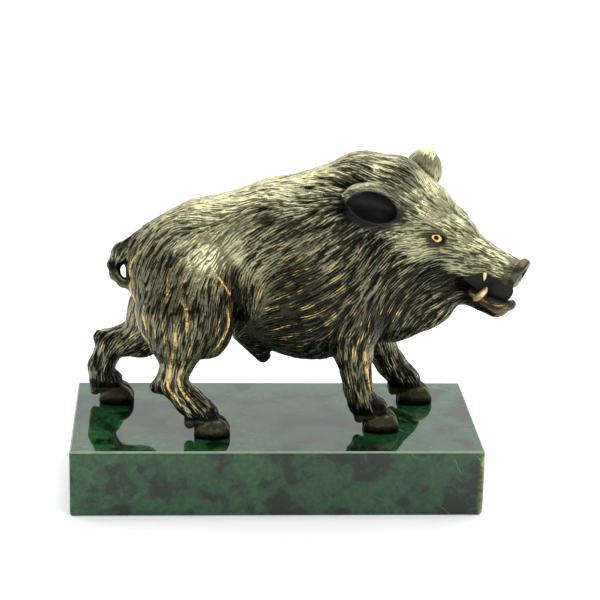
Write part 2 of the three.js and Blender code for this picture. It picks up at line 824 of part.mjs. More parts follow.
// A rounded rectangle's outline at a height, drawn in by an inset.
function outline(inset, z) {
  const points = [];
  const radius = Math.max(plinthCornerRadius - inset, 0.2);
  const x = plinthLength / 2 - inset - radius;
  const y = plinthDepth / 2 - inset - radius;
  const corners = [[x, y], [-x, y], [-x, -y], [x, -y]];
  corners.forEach(([cx, cy], quarter) => {
    for (let i = 0; i <= plinthCornerSteps; i += 1) {
      const turn = 0.5 * Math.PI * (quarter + i / plinthCornerSteps);
      points.push([cx + radius * Math.cos(turn), cy + radius * Math.sin(turn), z]);
    }
  });
  return points;
}

// The plinth: four outlines stacked up, with small chamfers round the top and the underside.
function plinthGeometry() {
  const rings = [
    outline(plinthChamfer / 2, 0),
    outline(0, plinthChamfer / 2),
    outline(0, plinthHeight - plinthChamfer),
    outline(plinthChamfer, plinthHeight),
  ];
  const around = rings[0].length;
  const points = rings.flat();
  const faces = [];
  for (let ring = 0; ring + 1 < rings.length; ring += 1) {
    for (let i = 0; i < around; i += 1) {
      const next = (i + 1) % around;
      const [a, b] = [ring * around + i, ring * around + next];
      faces.push([a, b, b + around], [a, b + around, a + around]);
    }
  }
  const top = around * (rings.length - 1);
  for (let i = 1; i + 1 < around; i += 1) {
    faces.push([0, i + 1, i], [top, top + i, top + i + 1]);
  }
  return geometryOf({ points, faces });
}

function named(name, geometry, color, roughness, metalness) {
  const mesh = new THREE.Mesh(geometry, new THREE.MeshStandardMaterial({ color, roughness, metalness }));
  mesh.name = name;
  return mesh;
}

const part = new THREE.Group();
part.name = "bronze_boar_on_plinth";
part.add(named("bronze_boar", boarGeometry(), 0x6f6a4f, 0.42, 1));
part.add(named("stone_plinth", plinthGeometry(), 0x46664f, 0.12, 0));

export default part;
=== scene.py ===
"""The looks of a cast bronze boar that strides on a polished green stone plinth.

Objects are in metres in the frame's axes: +X toward the head, +Z up, the plinth's underside at z = 0.
The casting is drawn in millimetres above the plinth's top, from masses that are joined, cut and kept.
"""
import logging
import math
from dataclasses import dataclass, field
from enum import Enum
from typing import Any, Protocol, Sequence

import bmesh
import bpy
import numpy as np
from mathutils import Matrix, Vector


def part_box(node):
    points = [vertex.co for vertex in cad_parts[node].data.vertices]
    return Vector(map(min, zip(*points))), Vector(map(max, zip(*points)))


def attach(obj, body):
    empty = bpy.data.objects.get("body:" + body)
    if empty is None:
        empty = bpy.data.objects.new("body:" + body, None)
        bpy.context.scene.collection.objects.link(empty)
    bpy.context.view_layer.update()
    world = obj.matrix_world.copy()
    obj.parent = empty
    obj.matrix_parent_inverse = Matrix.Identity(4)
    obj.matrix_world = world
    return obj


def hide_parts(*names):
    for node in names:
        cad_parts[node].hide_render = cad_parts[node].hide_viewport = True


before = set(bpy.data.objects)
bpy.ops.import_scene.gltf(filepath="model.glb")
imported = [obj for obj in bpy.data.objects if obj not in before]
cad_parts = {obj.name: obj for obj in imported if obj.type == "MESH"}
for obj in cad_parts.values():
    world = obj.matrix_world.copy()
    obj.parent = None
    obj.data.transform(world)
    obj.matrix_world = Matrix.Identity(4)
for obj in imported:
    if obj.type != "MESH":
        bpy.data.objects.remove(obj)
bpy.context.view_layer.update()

LOG = logging.getLogger("boar")
Point = tuple[float, float, float]
# Millimetres that stand for anywhere away from the skin.
FAR = 9.0
# The least length that anything is divided by.
TINY = 1e-9
MILLIMETRES = 1000


class Work(Enum):
    """What a mass does to the form before it."""

    JOIN = "join"
    CUT = "cut"
    KEEP = "keep"


class Side(Enum):
    """A side of the animal, as the sign of its left axis. The right side faces -Y, toward the camera."""

    RIGHT = -1
    LEFT = 1


def turned(yaw: float, pitch: float, roll: float) -> np.ndarray:
    """Axes of a frame turned by yaw about Z, then pitch about Y, then roll about X.

    Args:
        yaw: Degrees, positive toward +Y.
        pitch: Degrees, positive is nose down.
        roll: Degrees about the forward axis.

    Returns:
        A 3 by 3 array whose rows are the turned axes.
    """
    y, p, r = np.radians([yaw, pitch, roll])
    about_z = np.array([[np.cos(y), -np.sin(y), 0], [np.sin(y), np.cos(y), 0], [0, 0, 1]])
    about_y = np.array([[np.cos(p), 0, np.sin(p)], [0, 1, 0], [-np.sin(p), 0, np.cos(p)]])
    about_x = np.array([[1, 0, 0], [0, np.cos(r), -np.sin(r)], [0, np.sin(r), np.cos(r)]])
    return (about_z @ about_y @ about_x).T.astype(np.float32)


def unit(v: Sequence[float]) -> np.ndarray:
    """The same direction with length one, for one vector or an array of them."""
    a = np.asarray(v, np.float32)
    return a / np.maximum(np.sqrt((a * a).sum(-1, keepdims=True)), TINY)


def folds(p: np.ndarray) -> np.ndarray:
    """Factors that mirror points onto the side that faces +Y."""
    return np.stack([np.ones(len(p)), np.where(p[:, 1] < 0, -1.0, 1.0), np.ones(len(p))], axis=1)


def smooth_min(a: np.ndarray, b: np.ndarray, k: float) -> np.ndarray:
    """The lesser of two distances, with the seam rounded over about k."""
    h = np.maximum(k - np.abs(a - b), 0) / k
    return np.minimum(a, b) - h * h * (k * 0.25)


def ramp(x: np.ndarray, low: float, high: float) -> np.ndarray:
    """A smooth step from 0 at low to 1 at high."""
    t = np.clip((x - low) / (high - low), 0, 1)
    return t * t * (3 - 2 * t)


class Mass(Protocol):
    """Anything with a skin, a middle, and a reach from there that holds all of it."""

    middle: np.ndarray
    reach: float

    def distance(self, p: np.ndarray) -> np.ndarray:
        """Distances of points from the skin, negative inside."""


@dataclass
class Ball:
    """A ball stretched to three radii along its own axes."""

    centre: Point
    radii: Point
    axes: np.ndarray = field(default_factory=lambda: np.eye(3, dtype=np.float32))

    def __post_init__(self) -> None:
        """Works out the array that turns and squeezes space onto a round ball."""
        self.middle = np.asarray(self.centre, np.float32)
        self.squeeze = (self.axes.T / np.asarray(self.radii)).astype(np.float32)
        self.reach = float(max(self.radii))

    def distance(self, p: np.ndarray) -> np.ndarray:
        """Measures how far points are from the ball's skin.

        Args:
            p: Points, as rows.

        Returns:
            One distance for each, negative inside.
        """
        u = (p - self.middle) @ self.squeeze
        near = np.sqrt((u * u).sum(-1))
        u = u / np.asarray(self.radii, np.float32)
        return near * (near - 1) / np.maximum(np.sqrt((u * u).sum(-1)), 1e-6)


@dataclass
class Bone:
    """A tapering bone with round ends, its thickness across `side` multiplied by `flat`."""

    start: Point
    end: Point
    start_radius: float
    end_radius: float
    flat: float = 1.0
    side: Point = (0.0, 1.0, 0.0)

    def __post_init__(self) -> None:
        """Works out the bone's line and how far it reaches from its middle."""
        self.base = np.asarray(self.start, np.float32)
        self.along = np.asarray(self.end, np.float32) - self.base
        self.length = float(np.sqrt(self.along @ self.along))
        self.way = self.along / self.length
        across = np.asarray(self.side, np.float32)
        self.across = unit(across - (across @ self.way) * self.way)
        self.middle = self.base + 0.5 * self.along
        self.reach = 0.5 * self.length + max(self.start_radius, self.end_radius) * max(1.0, self.flat)

    def distance(self, p: np.ndarray) -> np.ndarray:
        """Measures how far points are from the bone's skin.

        Args:
            p: Points, as rows.

        Returns:
            One distance for each, negative inside.
        """
        q = p - self.base
        if self.flat != 1.0:
            q = q + ((q @ self.across) * (1 / self.flat - 1))[:, None] * self.across
        h = np.clip((q @ self.way) / self.length, 0, 1)
        q = q - h[:, None] * self.along
        thick = self.start_radius + (self.end_radius - self.start_radius) * h
        return (np.sqrt((q * q).sum(-1)) - thick) * min(1.0, (1 + self.flat) / 2)


@dataclass
class Behind:
    """The half of space behind a plane."""

    point: Point
    normal: Point

    def __post_init__(self) -> None:
        """Sets the plane's unit normal. A half-space reaches everywhere."""
        self.middle = np.asarray(self.point, np.float32)
        self.out = unit(self.normal)
        self.reach = math.inf

    def distance(self, p: np.ndarray) -> np.ndarray:
        """Distances of an array of points from the plane, negative behind it."""
        return (p - self.middle) @ self.out


@dataclass
class Step:
    """One mass and what it does, with how far its seam is rounded."""

    mass: Mass
    soft: float
    how: Work = Work.JOIN


@dataclass
class Worked:
    """Masses worked one after another."""

    steps: list[Step]

    def __post_init__(self) -> None:
        """Finds a ball that holds every joined mass."""
        joined = [s.mass for s in self.steps if s.how is Work.JOIN]
        self.middle = np.mean([m.middle for m in joined], axis=0)
        self.reach = 1 + max(float(np.linalg.norm(m.middle - self.middle)) + m.reach for m in joined)

    def distance(self, p: np.ndarray) -> np.ndarray:
        """Measures how far points are from the finished skin.

        Args:
            p: Points, as rows.

        Returns:
            One distance for each, negative inside.
        """
        d = None
        for step in self.steps:
            other = step.mass.distance(p)
            if step.how is Work.JOIN:
                d = other if d is None else smooth_min(d, other, step.soft)
            elif step.how is Work.CUT:
                d = -smooth_min(-d, other, step.soft)
            else:
                d = -smooth_min(-d, -other, step.soft)
        return d

    def near(self, middle: np.ndarray, within: float) -> "Worked | None":
        """The same work without the masses that can't matter near a place.

        Args:
            middle: The middle of the place.
            within: How near a mass has to come to it.

        Returns:
            The smaller work, or None if nothing joined is left.
        """
        left = []
        for step in self.steps:
            mass = step.mass
            span = within + step.soft
            if float(np.linalg.norm(mass.middle - middle)) - mass.reach < span:
                inner = mass.near(middle, span) if isinstance(mass, Worked) else mass
                if inner is not None:
                    left.append(Step(inner, step.soft, step.how))
        return Worked(left) if any(s.how is Work.JOIN for s in left) else None


def join(mass: Mass, soft: float) -> Step:
    """A step that joins a mass on."""
    return Step(mass, soft, Work.JOIN)


def cut(mass: Mass, soft: float) -> Step:
    """A step that cuts a mass away."""
    return Step(mass, soft, Work.CUT)


def keep(mass: Mass, soft: float) -> Step:
    """A step that keeps only what lies in a mass."""
    return Step(mass, soft, Work.KEEP)


def limb(joints: Sequence[Sequence[float]], soft: float) -> list[Step]:
    """Bones end to end.

    Args:
        joints: Places and radii, as x, y, z, radius.
        soft: How far the seams are rounded.

    Returns:
        One joining step for each bone.
    """
    pairs = zip(joints[:-1], joints[1:])
    return [join(Bone(tuple(a[:3]), tuple(b[:3]), a[3], b[3]), soft) for a, b in pairs]


@dataclass
class Trunk:
    """Barrel, shoulders, haunches, throat and the line of the back."""

    spine: tuple = (
        (-39, 0, 61.9, 11), (-25, 0, 70.1, 12.6), (0, 0, 75, 14.5), (18, 0, 79.7, 13),
        (31, 0, 89, 11), (42, -1, 88.3, 11), (50, -3, 82.2, 9.5),
    )

    def steps(self) -> list[Step]:
        """Draws the trunk.

        Returns:
            Its masses in the order they are worked.
        """
        return [
            join(Ball((10.5, 0, 55.4), (32.5, 20.5, 30.2)), 7),
            join(Ball((16, 0, 57.7), (28, 21.5, 32)), 8),
            join(Ball((29, 0, 65.7), (22, 18, 28.5), turned(0, 8, 0)), 8),
            join(Ball((-32, 0, 55.7), (21, 18, 21.5), turned(0, -18, 0)), 8),
            join(Ball((-39.5, 0, 55.7), (14, 14, 14), turned(0, -25, 0)), 6),
            join(Ball((42, -1, 45.8), (15, 12.5, 15.5), turned(0, 20, 0)), 7),
            join(Ball((53.5, -4.3, 50.4), (13, 8.5, 13.4), turned(-20, 10, 0)), 6),
            join(Ball((44, -2.5, 68.7), (17, 13.5, 19), turned(-20, 14, 0)), 8),
            join(Worked(limb(self.spine, 3)), 8),
            join(Bone((-9.5, -1, 34.2), (-4.4, -1.5, 24), 6.5, 2.4), 3),
        ]


@dataclass
class Tail:
    """The tail, which hugs the rump and curls forward under itself."""

    joints: tuple = (
        (-41, 0, 70.7, 4.8), (-50, 0, 67.3, 3.6), (-56.3, 0, 63.2, 3.3), (-59.4, -0.5, 58.7, 2.4),
        (-59.2, -2, 55.4, 1.9), (-56.5, -4, 53, 1.6), (-52.5, -6, 51.9, 1.5),
    )

    def steps(self) -> list[Step]:
        """The tail as one step."""
        return [join(Worked(limb(self.joints, 1)), 2)]


@dataclass
class Leg:
    """One leg: its joints down to the cuff of hair, the cloven hoof and the dewclaws behind it."""

    joints: tuple
    hoof_x: float
    hoof_y: float
    hock: tuple | None = None
    stifle: Ball | None = None

    def hoof(self) -> Worked:
        """Draws two claws side by side, flat under their soles.

        Returns:
            The hoof.
        """
        x, y = self.hoof_x, self.hoof_y
        tilt = turned(0, 6, 0)
        claws = [join(Ball((x + 0.2, y + 2.75 * s.value, 0.8), (6.6, 3.3, 6.6), tilt), 0.5) for s in Side]
        return Worked([*claws, keep(Behind((x, y, -0.3), (0, 0, -1)), 0.3)])

    def steps(self) -> list[Step]:
        """Draws the leg.

        Returns:
            Its masses in the order they are worked.
        """
        x, y = self.hoof_x, self.hoof_y
        last = self.joints[-1]
        cuff = join(Bone(tuple(last[:3]), (x - 2.4, y, 6.8), last[3], 5.1), 2)
        hem = keep(Behind((x + 4.2, y, 5.8), (0.18, 0, -0.98)), 0.6)
        foot = [join(Worked([*limb(self.joints, 2), cuff, hem]), 1)]
        for s in (side.value for side in Side):
            foot.append(join(Bone((x - 7.6, y + 1.9 * s, 8), (x - 8, y + 2.1 * s, 4.9), 2.5, 2), 1))
        steps = [join(Worked([*foot, join(self.hoof(), 0.3)]), 4)]
        if self.stifle:
            steps.append(join(self.stifle, 2.5))
        if self.hock:
            steps.append(join(Bone(self.hock[0], self.hock[1], 3.8, 2), 2))
        return steps


@dataclass
class Head:
    """The head, drawn in its own frame of forward, left and up, and turned toward the camera's side."""

    place: Point = (52, -3, 77.7)
    yaw: float = -29
    pitch: float = 16
    roll: float = 8

    def __post_init__(self) -> None:
        """Turns the head's axes, and draws what the coat and the finish's painted shade have to know as well.
        """
        self.axes = turned(self.yaw, self.pitch, self.roll)
        front = self.way((0.978, 0, -0.208))
        self.disc = Worked([
            join(self.ball((41, 0, -3.8), (5.6, 5.1, 5.7)), 1),
            keep(Behind(self.at((42.5, 0, -3.8)), tuple(front)), 0.9),
            keep(Behind(self.at((39, 0, -3.8)), tuple(-front)), 0.9),
        ])
        self.gape = [
            self.bone((25, 0, -13.8), (46, 0, -13.4), 2.6, 2.5, 4), self.ball((31, 0, -12), (5, 12, 4.6)),
            self.ball((35, 0, -16.5), (6.2, 3.3, 3.2)),
        ]
        self.nostrils = [
            self.bone((40.4, 1.9 * s.value, -4.2), (45, 2 * s.value, -4.6), 1.1, 1.1) for s in Side
        ]

    def at(self, point: Point) -> Point:
        """A point of the head's frame in the drawing's."""
        return tuple(np.asarray(self.place) + np.asarray(point) @ self.axes)

    def own(self, p: np.ndarray) -> np.ndarray:
        """Points of the drawing, in the head's frame."""
        return (p - np.asarray(self.place, np.float32)) @ self.axes.T

    def way(self, direction: Point) -> np.ndarray:
        """A direction of the head's frame in the drawing's."""
        return np.asarray(direction) @ self.axes

    def ball(self, centre: Point, radii: Point) -> Ball:
        """A stretched ball along the head's axes."""
        return Ball(self.at(centre), radii, self.axes)

    def bone(self, start: Point, end: Point, first: float, last: float, flat: float = 1.0) -> Bone:
        """A bone in the head's frame, flattened across its left axis."""
        return Bone(self.at(start), self.at(end), first, last, flat, tuple(self.axes[1]))

    def skull(self) -> list[Step]:
        """Draws skull, cheeks, muzzle and jaw, with the mouth cut right across.

        Returns:
            Their masses in the order they are worked.
        """
        steps = [
            join(self.ball((-4, 0, 1), (15, 11, 12.5)), 5),
            join(self.bone((-2, 0, 2), (14, 0, -0.6), 9.5, 7.6), 5),
            join(self.bone((12, 0, -2.8), (24, 0, -4.2), 7.6, 5.7), 4),
            join(self.bone((24, 0, -4.2), (38.8, 0, -4.0), 5.7, 4.7), 3),
        ]
        for s in (side.value for side in Side):
            steps += [
                join(self.ball((4, 4.6 * s, -8), (15, 6.2, 10.5)), 5),
                join(self.bone((12, 3.4 * s, -9), (25, 2.6 * s, -9), 6.2, 3.4), 3),
                join(self.bone((2, 8.6 * s, 5.2), (13, 6.8 * s, 3.8), 2.6, 1.9), 2),
            ]
        return steps + [
            join(self.bone((33, 0, -7), (40, 0, -8.4), 2.8, 2, 1.4), 1.5),
            join(self.bone((8, 0, -16), (24, 0, -20), 7.5, 3.6), 4),
            join(self.bone((22, 0, -20), (38, 0, -20.6), 3.6, 3, 1.5), 2),
            join(self.bone((37, 0, -20.2), (41.4, 0, -17.6), 3, 1.9, 1.5), 1.5),
            *[cut(mass, soft) for mass, soft in zip(self.gape, (0.8, 1.2, 0.8))],
            join(self.bone((20, 0, -13.5), (36.5, 0, -13), 5.6, 4.6, 0.2), 0.6),
        ]

    def face(self) -> list[Step]:
        """Draws the nose disc with its nostrils, and the sockets under the brows.

        Returns:
            Their masses in the order they are worked.
        """
        steps = [join(self.disc, 0.4), cut(self.ball((43.9, 0, -4.1), (2, 3.8, 4.3)), 0.6)]
        for side, nostril in zip(Side, self.nostrils):
            s = side.value
            steps += [
                cut(nostril, 0.4),
                cut(self.ball((10.2, 9.6 * s, 0.6), (3.9, 2.1, 2.7)), 0.9),
                join(self.bone((5, 9.1 * s, 4.3), (14.4, 8.3 * s, 2.6), 1.1, 0.7), 1),
                join(self.bone((7.2, 9.1 * s, -2.5), (13, 8.6 * s, -2.1), 0.5, 0.4), 1),
            ]
        return steps

    def mouth(self) -> list[Mass]:
        """The hollows of the mouth and the nostrils."""
        return [*self.gape, self.bone((22, 0, -13.5), (36.5, 0, -13), 5.2, 4.4, 0.26), *self.nostrils]

    def steps(self) -> list[Step]:
        """The head as one step."""
        return [join(Worked(self.skull() + self.face()), 5)]


@dataclass
class Ear:
    """An ear like half a cup, opening along its facing direction."""

    centre: Point
    length: Point
    facing: Point
    radii: Point
    rim: float = 2.0
    drop: float = 0.0
    tip: tuple | None = None

    def __post_init__(self) -> None:
        """Works out the ear's shell and the hollow cut into it."""
        along = unit(self.length)
        facing = np.asarray(self.facing, np.float32)
        opening = unit(facing - (facing @ along) * along)
        axes = np.stack([along, np.cross(opening, along), opening]).astype(np.float32)
        lip = np.asarray(self.centre) + opening
        a, b, c = self.radii
        edge = keep(Behind(tuple(lip), tuple(opening)), 1.4)
        self.shell = Worked([join(Ball(self.centre, self.radii, axes), 1), edge])
        low = lip - self.drop * np.sign(axes[1][2]) * axes[1]
        self.hollow = Ball(tuple(low), (a - self.rim, b - self.rim, c - 0.6 * self.rim), axes)

    def steps(self) -> list[Step]:
        """Draws the ear.

        Returns:
            Its bowl and its hollow, with its folded tip.
        """
        steps = [join(self.shell, 1.2), cut(self.hollow, 0.8)]
        if self.tip:
            steps.append(join(Bone(self.tip[0], self.tip[1], 1.5, 0.8), 1.2))
        return steps


@dataclass
class Guide:
    """How the hair lies at a place: its way, a strand's length, width and lift, and as tone the painted light
    there, paler on top and darker low down.
    """

    at: Point
    way: Point
    length: float = 8.0
    width: float = 1.5
    lift: float = 0.5
    # Painted light: above 1 paler, below 1 darker, down to painted shade at 0.
    tone: float = 1.0


@dataclass
class Field:
    """Distances from a skin, sampled on a grid."""

    low: np.ndarray
    cell: float
    values: np.ndarray

    def sample(self, p: np.ndarray) -> np.ndarray:
        """Distances at any points, blended between the grid's corners.

        Args:
            p: Points, as rows.

        Returns:
            One distance for each point.
        """
        g = (p - self.low) / self.cell
        i = np.clip(np.floor(g).astype(np.int64), 0, np.array(self.values.shape) - 2)
        f = np.clip(g - i, 0, 1).astype(np.float32)
        total = np.zeros(len(p), np.float32)
        for bits in range(8):
            o = np.array([bits & 1, bits >> 1 & 1, bits >> 2 & 1])
            weight = np.prod(np.where(o, f, 1 - f), axis=1)
            total += weight * self.values[tuple((i + o).T)]
        return total

    def slope(self, p: np.ndarray, reach: float = 0.8) -> np.ndarray:
        """Outward directions at any points.

        Args:
            p: Points, as rows.
            reach: How far to each side the field is compared.

        Returns:
            One unit direction for each point.
        """
        steps = reach * np.eye(3, dtype=np.float32)
        return unit(np.stack([self.sample(p + s) - self.sample(p - s) for s in steps], axis=1))


def sampled(form: Worked, low: Point, high: Point, cell: float) -> Field:
    """Samples a form on a grid, closely near its skin and by one value elsewhere.

    Args:
        form: The masses.
        low: The grid's lowest corner.
        high: The grid's highest corner.
        cell: The grid's spacing.

    Returns:
        The sampled distances.
    """
    block = 16
    start = np.asarray(low, np.float32)
    counts = np.ceil((np.asarray(high) - start) / (cell * block)).astype(int) * block
    values = np.empty(counts, np.float32)
    half = math.sqrt(3) * 0.5 * block * cell
    hunted, crossed, seam = 2.6 * half, 1.6 * half, 1.3 * half + 3
    offsets = np.stack(np.meshgrid(*[np.arange(block)] * 3, indexing="ij"), -1)
    offsets = offsets.reshape(-1, 3).astype(np.float32)
    for corner in np.ndindex(*(counts // block)):
        first = np.array(corner) * block
        origin = start + first * cell
        middle = origin + 0.5 * block * cell
        cut_out = tuple(slice(f, f + block) for f in first)
        coarse = form.near(middle, hunted)
        value = float(coarse.distance(middle[None])[0]) if coarse else FAR
        fine = form.near(middle, abs(value) + seam) if abs(value) <= crossed else None
        if fine is None:
            values[cut_out] = math.copysign(FAR, value)
        else:
            p = (origin + offsets * cell).astype(np.float32)
            values[cut_out] = np.clip(fine.distance(p), -FAR, FAR).reshape(block, block, block)
    return Field(start, cell, values)


def skinned(grid: Field) -> tuple[np.ndarray, np.ndarray]:
    """A closed skin of four-sided faces where a field is zero.

    Args:
        grid: The sampled distances.

    Returns:
        The points and the faces, wound to face out.
    """
    inside = grid.values < 0
    shape = np.array(inside.shape)
    stride = np.array([shape[1] * shape[2], shape[2], 1])
    corners = [np.array([b & 1, b >> 1 & 1, b >> 2 & 1]) for b in range(8)]
    parts = [inside[tuple(slice(c, n - 1 + c) for c, n in zip(o, shape))] for o in corners]
    active = np.logical_or.reduce(parts) & ~np.logical_and.reduce(parts)
    where = np.argwhere(active)
    flat = where @ stride
    number = np.full(int(shape.prod()), -1, np.int64)
    number[flat] = np.arange(len(where))
    values = grid.values.ravel()
    at = np.stack([values[flat + o @ stride] for o in corners], 1)
    total = np.zeros((len(where), 3), np.float32)
    count = np.zeros(len(where), np.float32)
    for a in range(8):
        for axis in range(3):
            b = a | 1 << axis
            if b != a:
                va, vb = at[:, a], at[:, b]
                crossing = (va < 0) != (vb < 0)
                t = np.where(crossing, va / np.where(va == vb, 1, va - vb), 0)
                place = corners[a][None] + t[:, None] * np.eye(3)[axis]
                total += np.where(crossing[:, None], place, 0)
                count += crossing
    points = (where + total / count[:, None]) * grid.cell + grid.low
    quads = []
    for axis in range(3):
        u, v = (axis + 1) % 3, (axis + 2) % 3
        first = inside[tuple(slice(None, -1) if d == axis else slice(1, -1) for d in range(3))]
        second = inside[tuple(slice(1, None) if d == axis else slice(1, -1) for d in range(3))]
        crossing = np.argwhere(first != second)
        base = crossing + np.array([0 if d == axis else 1 for d in range(3)])
        f = base @ stride
        ring = [number[f - stride[u] - stride[v]], number[f - stride[v]], number[f], number[f - stride[u]]]
        quad = np.stack(ring, 1)
        out = inside.ravel()[f]
        quad[~out] = quad[~out][:, ::-1]
        quads.append(quad)
    return points.astype(np.float32), np.concatenate(quads)


@dataclass
class Coat:
    """The carved coat: overlapping tapered strands laid along the hair's own way, all over the figure.

    Lengths are in millimetres. The pairs are the least and greatest factor drawn for each strand, and swell
    and rise tell how thick and how high a strand is at parts of its length.
    """

    head: Head
    ears: Sequence[Ear]
    seed: int = 5
    depth: float = 0.55
    strands: int = 12500
    skin: float = 31000.0
    packing: float = 0.62
    parts: int = 5
    lengths: tuple = (0.7, 1.4)
    widths: tuple = (0.7, 1.3)
    lifts: tuple = (0.55, 1.35)
    fullness: float = 0.86
    sway: float = 0.13
    bend: float = 0.22
    straight: float = 0.6
    thinning: float = 1.4
    barest: float = 0.9
    groove: float = 0.4
    swell: tuple = ((0, 0.35, 0.75, 1), (0.55, 1, 0.9, 0.35))
    rise: tuple = ((0, 0.3, 0.8, 1), (0.15, 0.9, 1, 0.55))
    seam: float = 0.22

    def __post_init__(self) -> None:
        """Lists the masses that have no hair."""
        head = self.head
        self.masses = [ear.hollow for ear in self.ears] + head.mouth() + [
            head.disc, head.bone((28, 0, -17.6), (40, 0, -18.4), 2.6, 3.6, 1.6),
            *[head.ball((10.2, 9.3 * side.value, 0.5), (2.1, 1.8, 1.8)) for side in Side],
            Bone((-59.2, -2, 55.4), (-53, -6, 52), 2.4, 1.8),
        ]

    def guides(self) -> list[Guide]:
        """Sets the guides of trunk, legs and ears, for the side facing +Y.

        Returns:
            The guides, in the drawing's frame.
        """
        # The last number of each guide is its painted light: highest on the haunch, crest and ears, zero low
        # on the flanks and belly.
        return [
            Guide((-30, 6, 84), (-0.9, 0, 0.25), 8, 1.6, 0.6, 1.4),
            Guide((0, 6, 92), (-0.86, 0, 0.42), 9, 1.8, 0.7, 1.35),
            Guide((26, 7, 98), (-0.8, 0, 0.55), 9, 1.8, 0.75, 0.8),
            Guide((42, 7, 94), (-0.86, 0, 0.4), 8, 1.7, 0.65, 0.65),
            Guide((-5, 19, 72), (-0.84, 0.1, -0.5), 9, 1.6, 0.7, 0.8),
            Guide((18, 20, 74), (-0.8, 0.1, -0.55), 9, 1.6, 0.7, 0.75),
            Guide((6, 21, 59), (-0.85, 0.1, -0.45), 9, 1.6, 0.6, 0.0),
            Guide((4, 20, 45), (-0.86, 0, -0.4), 9, 1.5, 0.5, 0.0),
            Guide((0, 6, 27), (-1, 0, -0.1), 8, 1.5, 0.35, 0.0),
            Guide((32, 16, 66), (-0.62, 0.1, -0.75), 8, 1.5, 0.5, 0.35),
            Guide((34, 14, 44), (-0.4, 0, -0.9), 8, 1.4, 0.45, 0.05),
            Guide((50, 10, 58), (-0.55, 0.1, -0.8), 7, 1.4, 0.45, 0.05),
            Guide((60, 2, 46), (-0.2, 0, -0.95), 8, 1.5, 0.5, 0.1),
            Guide((-24, 18, 68), (-0.62, 0.1, -0.75), 8, 1.5, 0.55, 1.9),
            Guide((-26, 20, 48), (-0.12, 0.1, -1), 8, 1.4, 0.45, 0.28),
            Guide((-44, 14, 58), (-0.3, 0.1, -1), 8, 1.4, 0.45, 0.45),
            Guide((-52, 2, 66), (-0.45, 0.1, -0.9), 7, 1.3, 0.45, 0.9),
            Guide((-40, 18, 34), (-0.1, 0, -1), 8, 1.3, 0.45, 0.25),
            Guide((-16, 18, 52), (-0.2, 0.1, -1), 7, 1.4, 0.45, 0.25),
            Guide((-37, 17, 25), (-0.2, 0, -1), 7, 1.2, 0.45, 0.8),
            Guide((-33, 18, 14), (0.62, 0, -0.78), 7, 1.2, 0.45, 0.7),
            Guide((-52, 15, 27), (-0.85, 0, -0.5), 7, 1.2, 0.45, 0.6),
            Guide((-63, 16, 18), (-0.35, 0, -1), 7, 1.2, 0.45, 0.6),
            Guide((-65, 16, 9), (0.1, 0, -1), 6, 1.2, 0.4, 0.45),
            Guide((28, 13.5, 26), (0.05, 0, -1), 7, 1.2, 0.45, 0.35),
            Guide((30, 13.5, 12), (0.2, 0, -1), 6, 1.2, 0.4, 0.35),
            Guide((38, 15, 26), (0.3, 0, -0.95), 7, 1.2, 0.45, 0.5),
            Guide((47, 16, 12), (0.5, 0, -0.85), 6, 1.2, 0.4, 0.45),
            Guide((54, 13, 98), (0.2, 0, 1), 4, 0.8, 0.14, 2.4),
            Guide((54, 5, 94), (0.2, 0, 1), 4, 0.8, 0.16, 2.4),
            Guide((30, 21, 93), (-0.86, 0.2, 0.3), 4, 0.8, 0.16, 1.6),
        ]

    def head_guides(self) -> list[Guide]:
        """Sets the guides of the head, for its left side.

        Returns:
            The guides, in the head's own frame.
        """
        # The last number of each guide is its painted light: high over the brow and snout, low under the jaw
        # and throat.
        return [
            Guide((-6, 6, 11), (-0.95, 0.15, 0.2), 6, 1.2, 0.4, 2.0),
            Guide((8, 4, 9), (-0.95, 0.2, 0.15), 5, 1.1, 0.35, 2.4),
            Guide((22, 3, 1), (-0.97, 0.15, 0.1), 4.5, 1.0, 0.28, 2.4),
            Guide((34, 3, 0), (-1, 0.1, 0), 3.5, 0.9, 0.18, 2.4),
            Guide((24, 7, -6), (-1, 0.1, -0.15), 4.5, 1.0, 0.3, 1.8),
            Guide((4, 12, -3), (-0.9, 0.2, -0.35), 6, 1.1, 0.4, 1.8),
            Guide((2, 11, -14), (-0.75, 0.1, -0.65), 7, 1.3, 0.5, 0.4),
            Guide((14, 7, -18), (-0.85, 0.1, -0.5), 6, 1.2, 0.5, 0.45),
            Guide((24, 3, -23), (-0.8, 0, -0.6), 6, 1.2, 0.5, 0.9),
            Guide((-14, 10, -12), (-0.7, 0.1, -0.7), 8, 1.4, 0.5, 0.1),
        ]

    def lay(self, p: np.ndarray, out: np.ndarray) -> tuple[np.ndarray, np.ndarray]:
        """The way of the hair and the size of its strands at points of the skin.

        Args:
            p: Points, as rows.
            out: Outward directions there.

        Returns:
            Unit ways lying in the skin, and rows of length, width, lift and painted light.
        """
        way = np.zeros_like(p)
        size = np.zeros((len(p), 4), np.float32)
        whole = np.zeros(len(p), np.float32)
        for guides, q, turn in (
            (self.guides(), p, np.eye(3)),
            (self.head_guides(), self.head.own(p), self.head.axes),
        ):
            mirror = folds(q)
            for guide in guides:
                away = q * mirror - np.asarray(guide.at, np.float32)
                weight = 1 / ((away * away).sum(1) + 4) ** 2
                way += weight[:, None] * ((np.asarray(guide.way, np.float32) * mirror) @ turn)
                row = np.array([guide.length, guide.width, guide.lift, guide.tone], np.float32)
                size += weight[:, None] * row
                whole += weight
        way = unit(way)
        return unit(way - (way * out).sum(1, keepdims=True) * out), size / whole[:, None]

    def bare(self, p: np.ndarray) -> np.ndarray:
        """Tells how bare of hair the skin is.

        Args:
            p: Points, as rows.

        Returns:
            From 0 in the coat to 1 on hooves, snout, eyes and the ears' hollows.
        """
        bare = 1 - ramp(p[:, 2], 6.0, 7.5)
        for mass in self.masses:
            bare = np.maximum(bare, 1 - ramp(mass.distance(p), 0.0, 1.0))
        return bare

